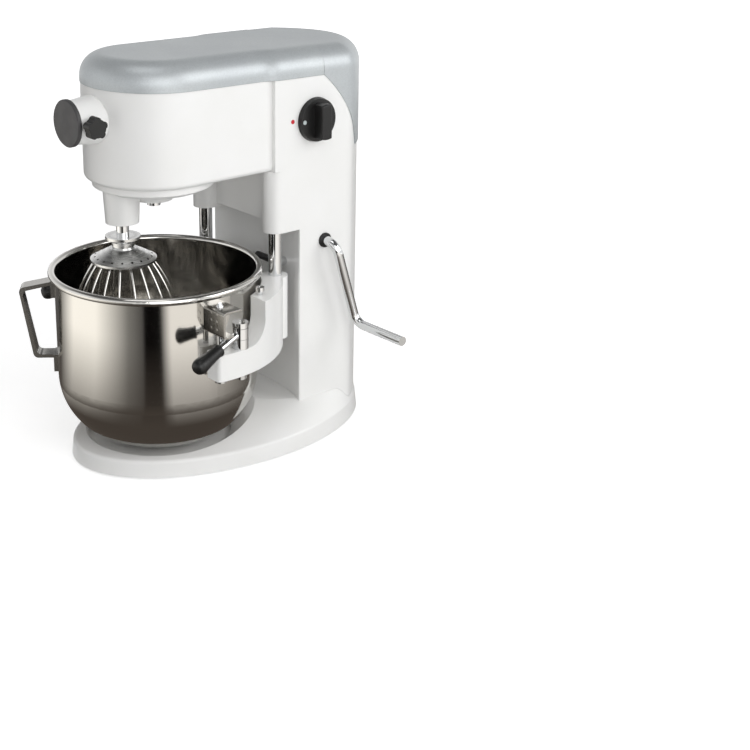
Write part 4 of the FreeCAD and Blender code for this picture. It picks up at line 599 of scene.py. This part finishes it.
# %% Weld prints on the lugs
weld_mm = [(0, -0.4), (1.9, -0.4), (2.0, 0.02), (1.5, 0.25), (0.9, 0.12), (0, 0.08)]
from_end_mm, from_bottom_mm = [13.0, 23.0], [8.0, 17.0, 25.0]
lug_low, lug_high = np.array(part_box("bowl_lugs"))
across, height = (grid.ravel() * MM for grid in np.meshgrid(from_end_mm, from_bottom_mm, indexing="ij"))
prints = np.column_stack([np.concatenate([lug_high[0] - across, lug_low[0] + across]),
                          np.full(2 * len(across), lug_low[1]), lug_low[2] + np.tile(height, 2)])
to_front = np.tile([0.0, -1.0, 0.0], (len(prints), 1))
weld_prints = turned_pieces("weld_prints", weld_mm, prints, to_front, strip_steel, count=20)
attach(weld_prints, "lift")

# %% [markdown]
# The bowl's lugs. Each is a strip of stainless sheet bent over at the top and bottom and welded to the
# wall, with a locating pin through its upper flange. The CAD lug has square corners and no lower
# flange. A Solidify modifier on a folded sheet would leave the bends uneven, so the bent section is
# worked out with its thickness and carried from the bowl's wall to the lug's end.

# %% Bent lugs
def bent_strip(bend, sheet, low, high, lower_back, bend_points=7):
    """The strip's section as a closed loop of y and z: a line of given radius runs forward along the
    top, a quarter turn down, along the plate, a quarter turn under and back along the bottom; once at
    the bend's radius, and back at the radius less the sheet."""
    quarter = np.linspace(0.5, 1.0, bend_points) * math.pi
    y_turn, z_top, z_bottom = low[1] + bend, high[2] - bend, low[2] + bend

    def line(radius):
        cosine, sine = radius * np.cos(quarter), radius * np.sin(quarter)
        y = np.concatenate([[high[1]], y_turn + cosine, y_turn - sine, [lower_back]])
        z = np.concatenate([[z_top + radius], z_top + sine, z_bottom + cosine, [z_bottom - radius]])
        return np.column_stack([y, z])

    return np.concatenate([line(bend), line(bend - sheet)[::-1]])


def strip_faces(count):
    """Faces of a section of count points carried from one end to the other: a quad from each point to
    the next, and at both ends quads between the outer line and the inner line that returns beside it."""
    here = np.arange(count)
    after = (here + 1) % count
    step = np.arange(count // 2 - 1)
    end = np.column_stack([step, step + 1, count - 2 - step, count - 1 - step])
    sides = np.column_stack([here, after, after + count, here + count])
    return np.concatenate([sides, end + count, end[:, ::-1]])


bend_mm, sheet_mm, lower_flange_mm = 4.0, 2.5, 14.0
lug_reach_mm, into_wall_mm, edge_mm = 35.0, 0.3, 0.4
section = bent_strip(bend_mm * MM, sheet_mm * MM, lug_low, lug_high, lug_low[1] + lower_flange_mm * MM)
lug_end = lug_high[0] - rim_centre[0]
wall_radius = lug_high[0] - lug_reach_mm * MM - rim_centre[0] - into_wall_mm * MM
wall_x = np.sqrt(wall_radius ** 2 - (section[:, 0] - rim_centre[1]) ** 2)
reach_x = np.concatenate([wall_x, np.full(len(section), lug_end)])
ends = np.tile(section, (2, 1))
points = np.concatenate([np.column_stack([rim_centre[0] + out * reach_x, ends]) for out in (1, -1)])
faces = strip_faces(len(section))
faces = np.concatenate([faces, faces[:, ::-1] + len(ends)])
bent_lugs = make("bent_lugs", points, faces.tolist())
bent_lugs.data.polygons.foreach_set("use_smooth", np.ones(len(faces), dtype=bool))
bent_lugs.data.materials.append(strip_steel)
rounding = bent_lugs.modifiers.new("rounded_edges", "BEVEL")
rounding.width, rounding.segments, rounding.limit_method = edge_mm * MM, 2, "ANGLE"
rounding.harden_normals = True
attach(bent_lugs, "lift")
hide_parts("bowl_lugs")
print("bent_lugs", len(faces), "faces")
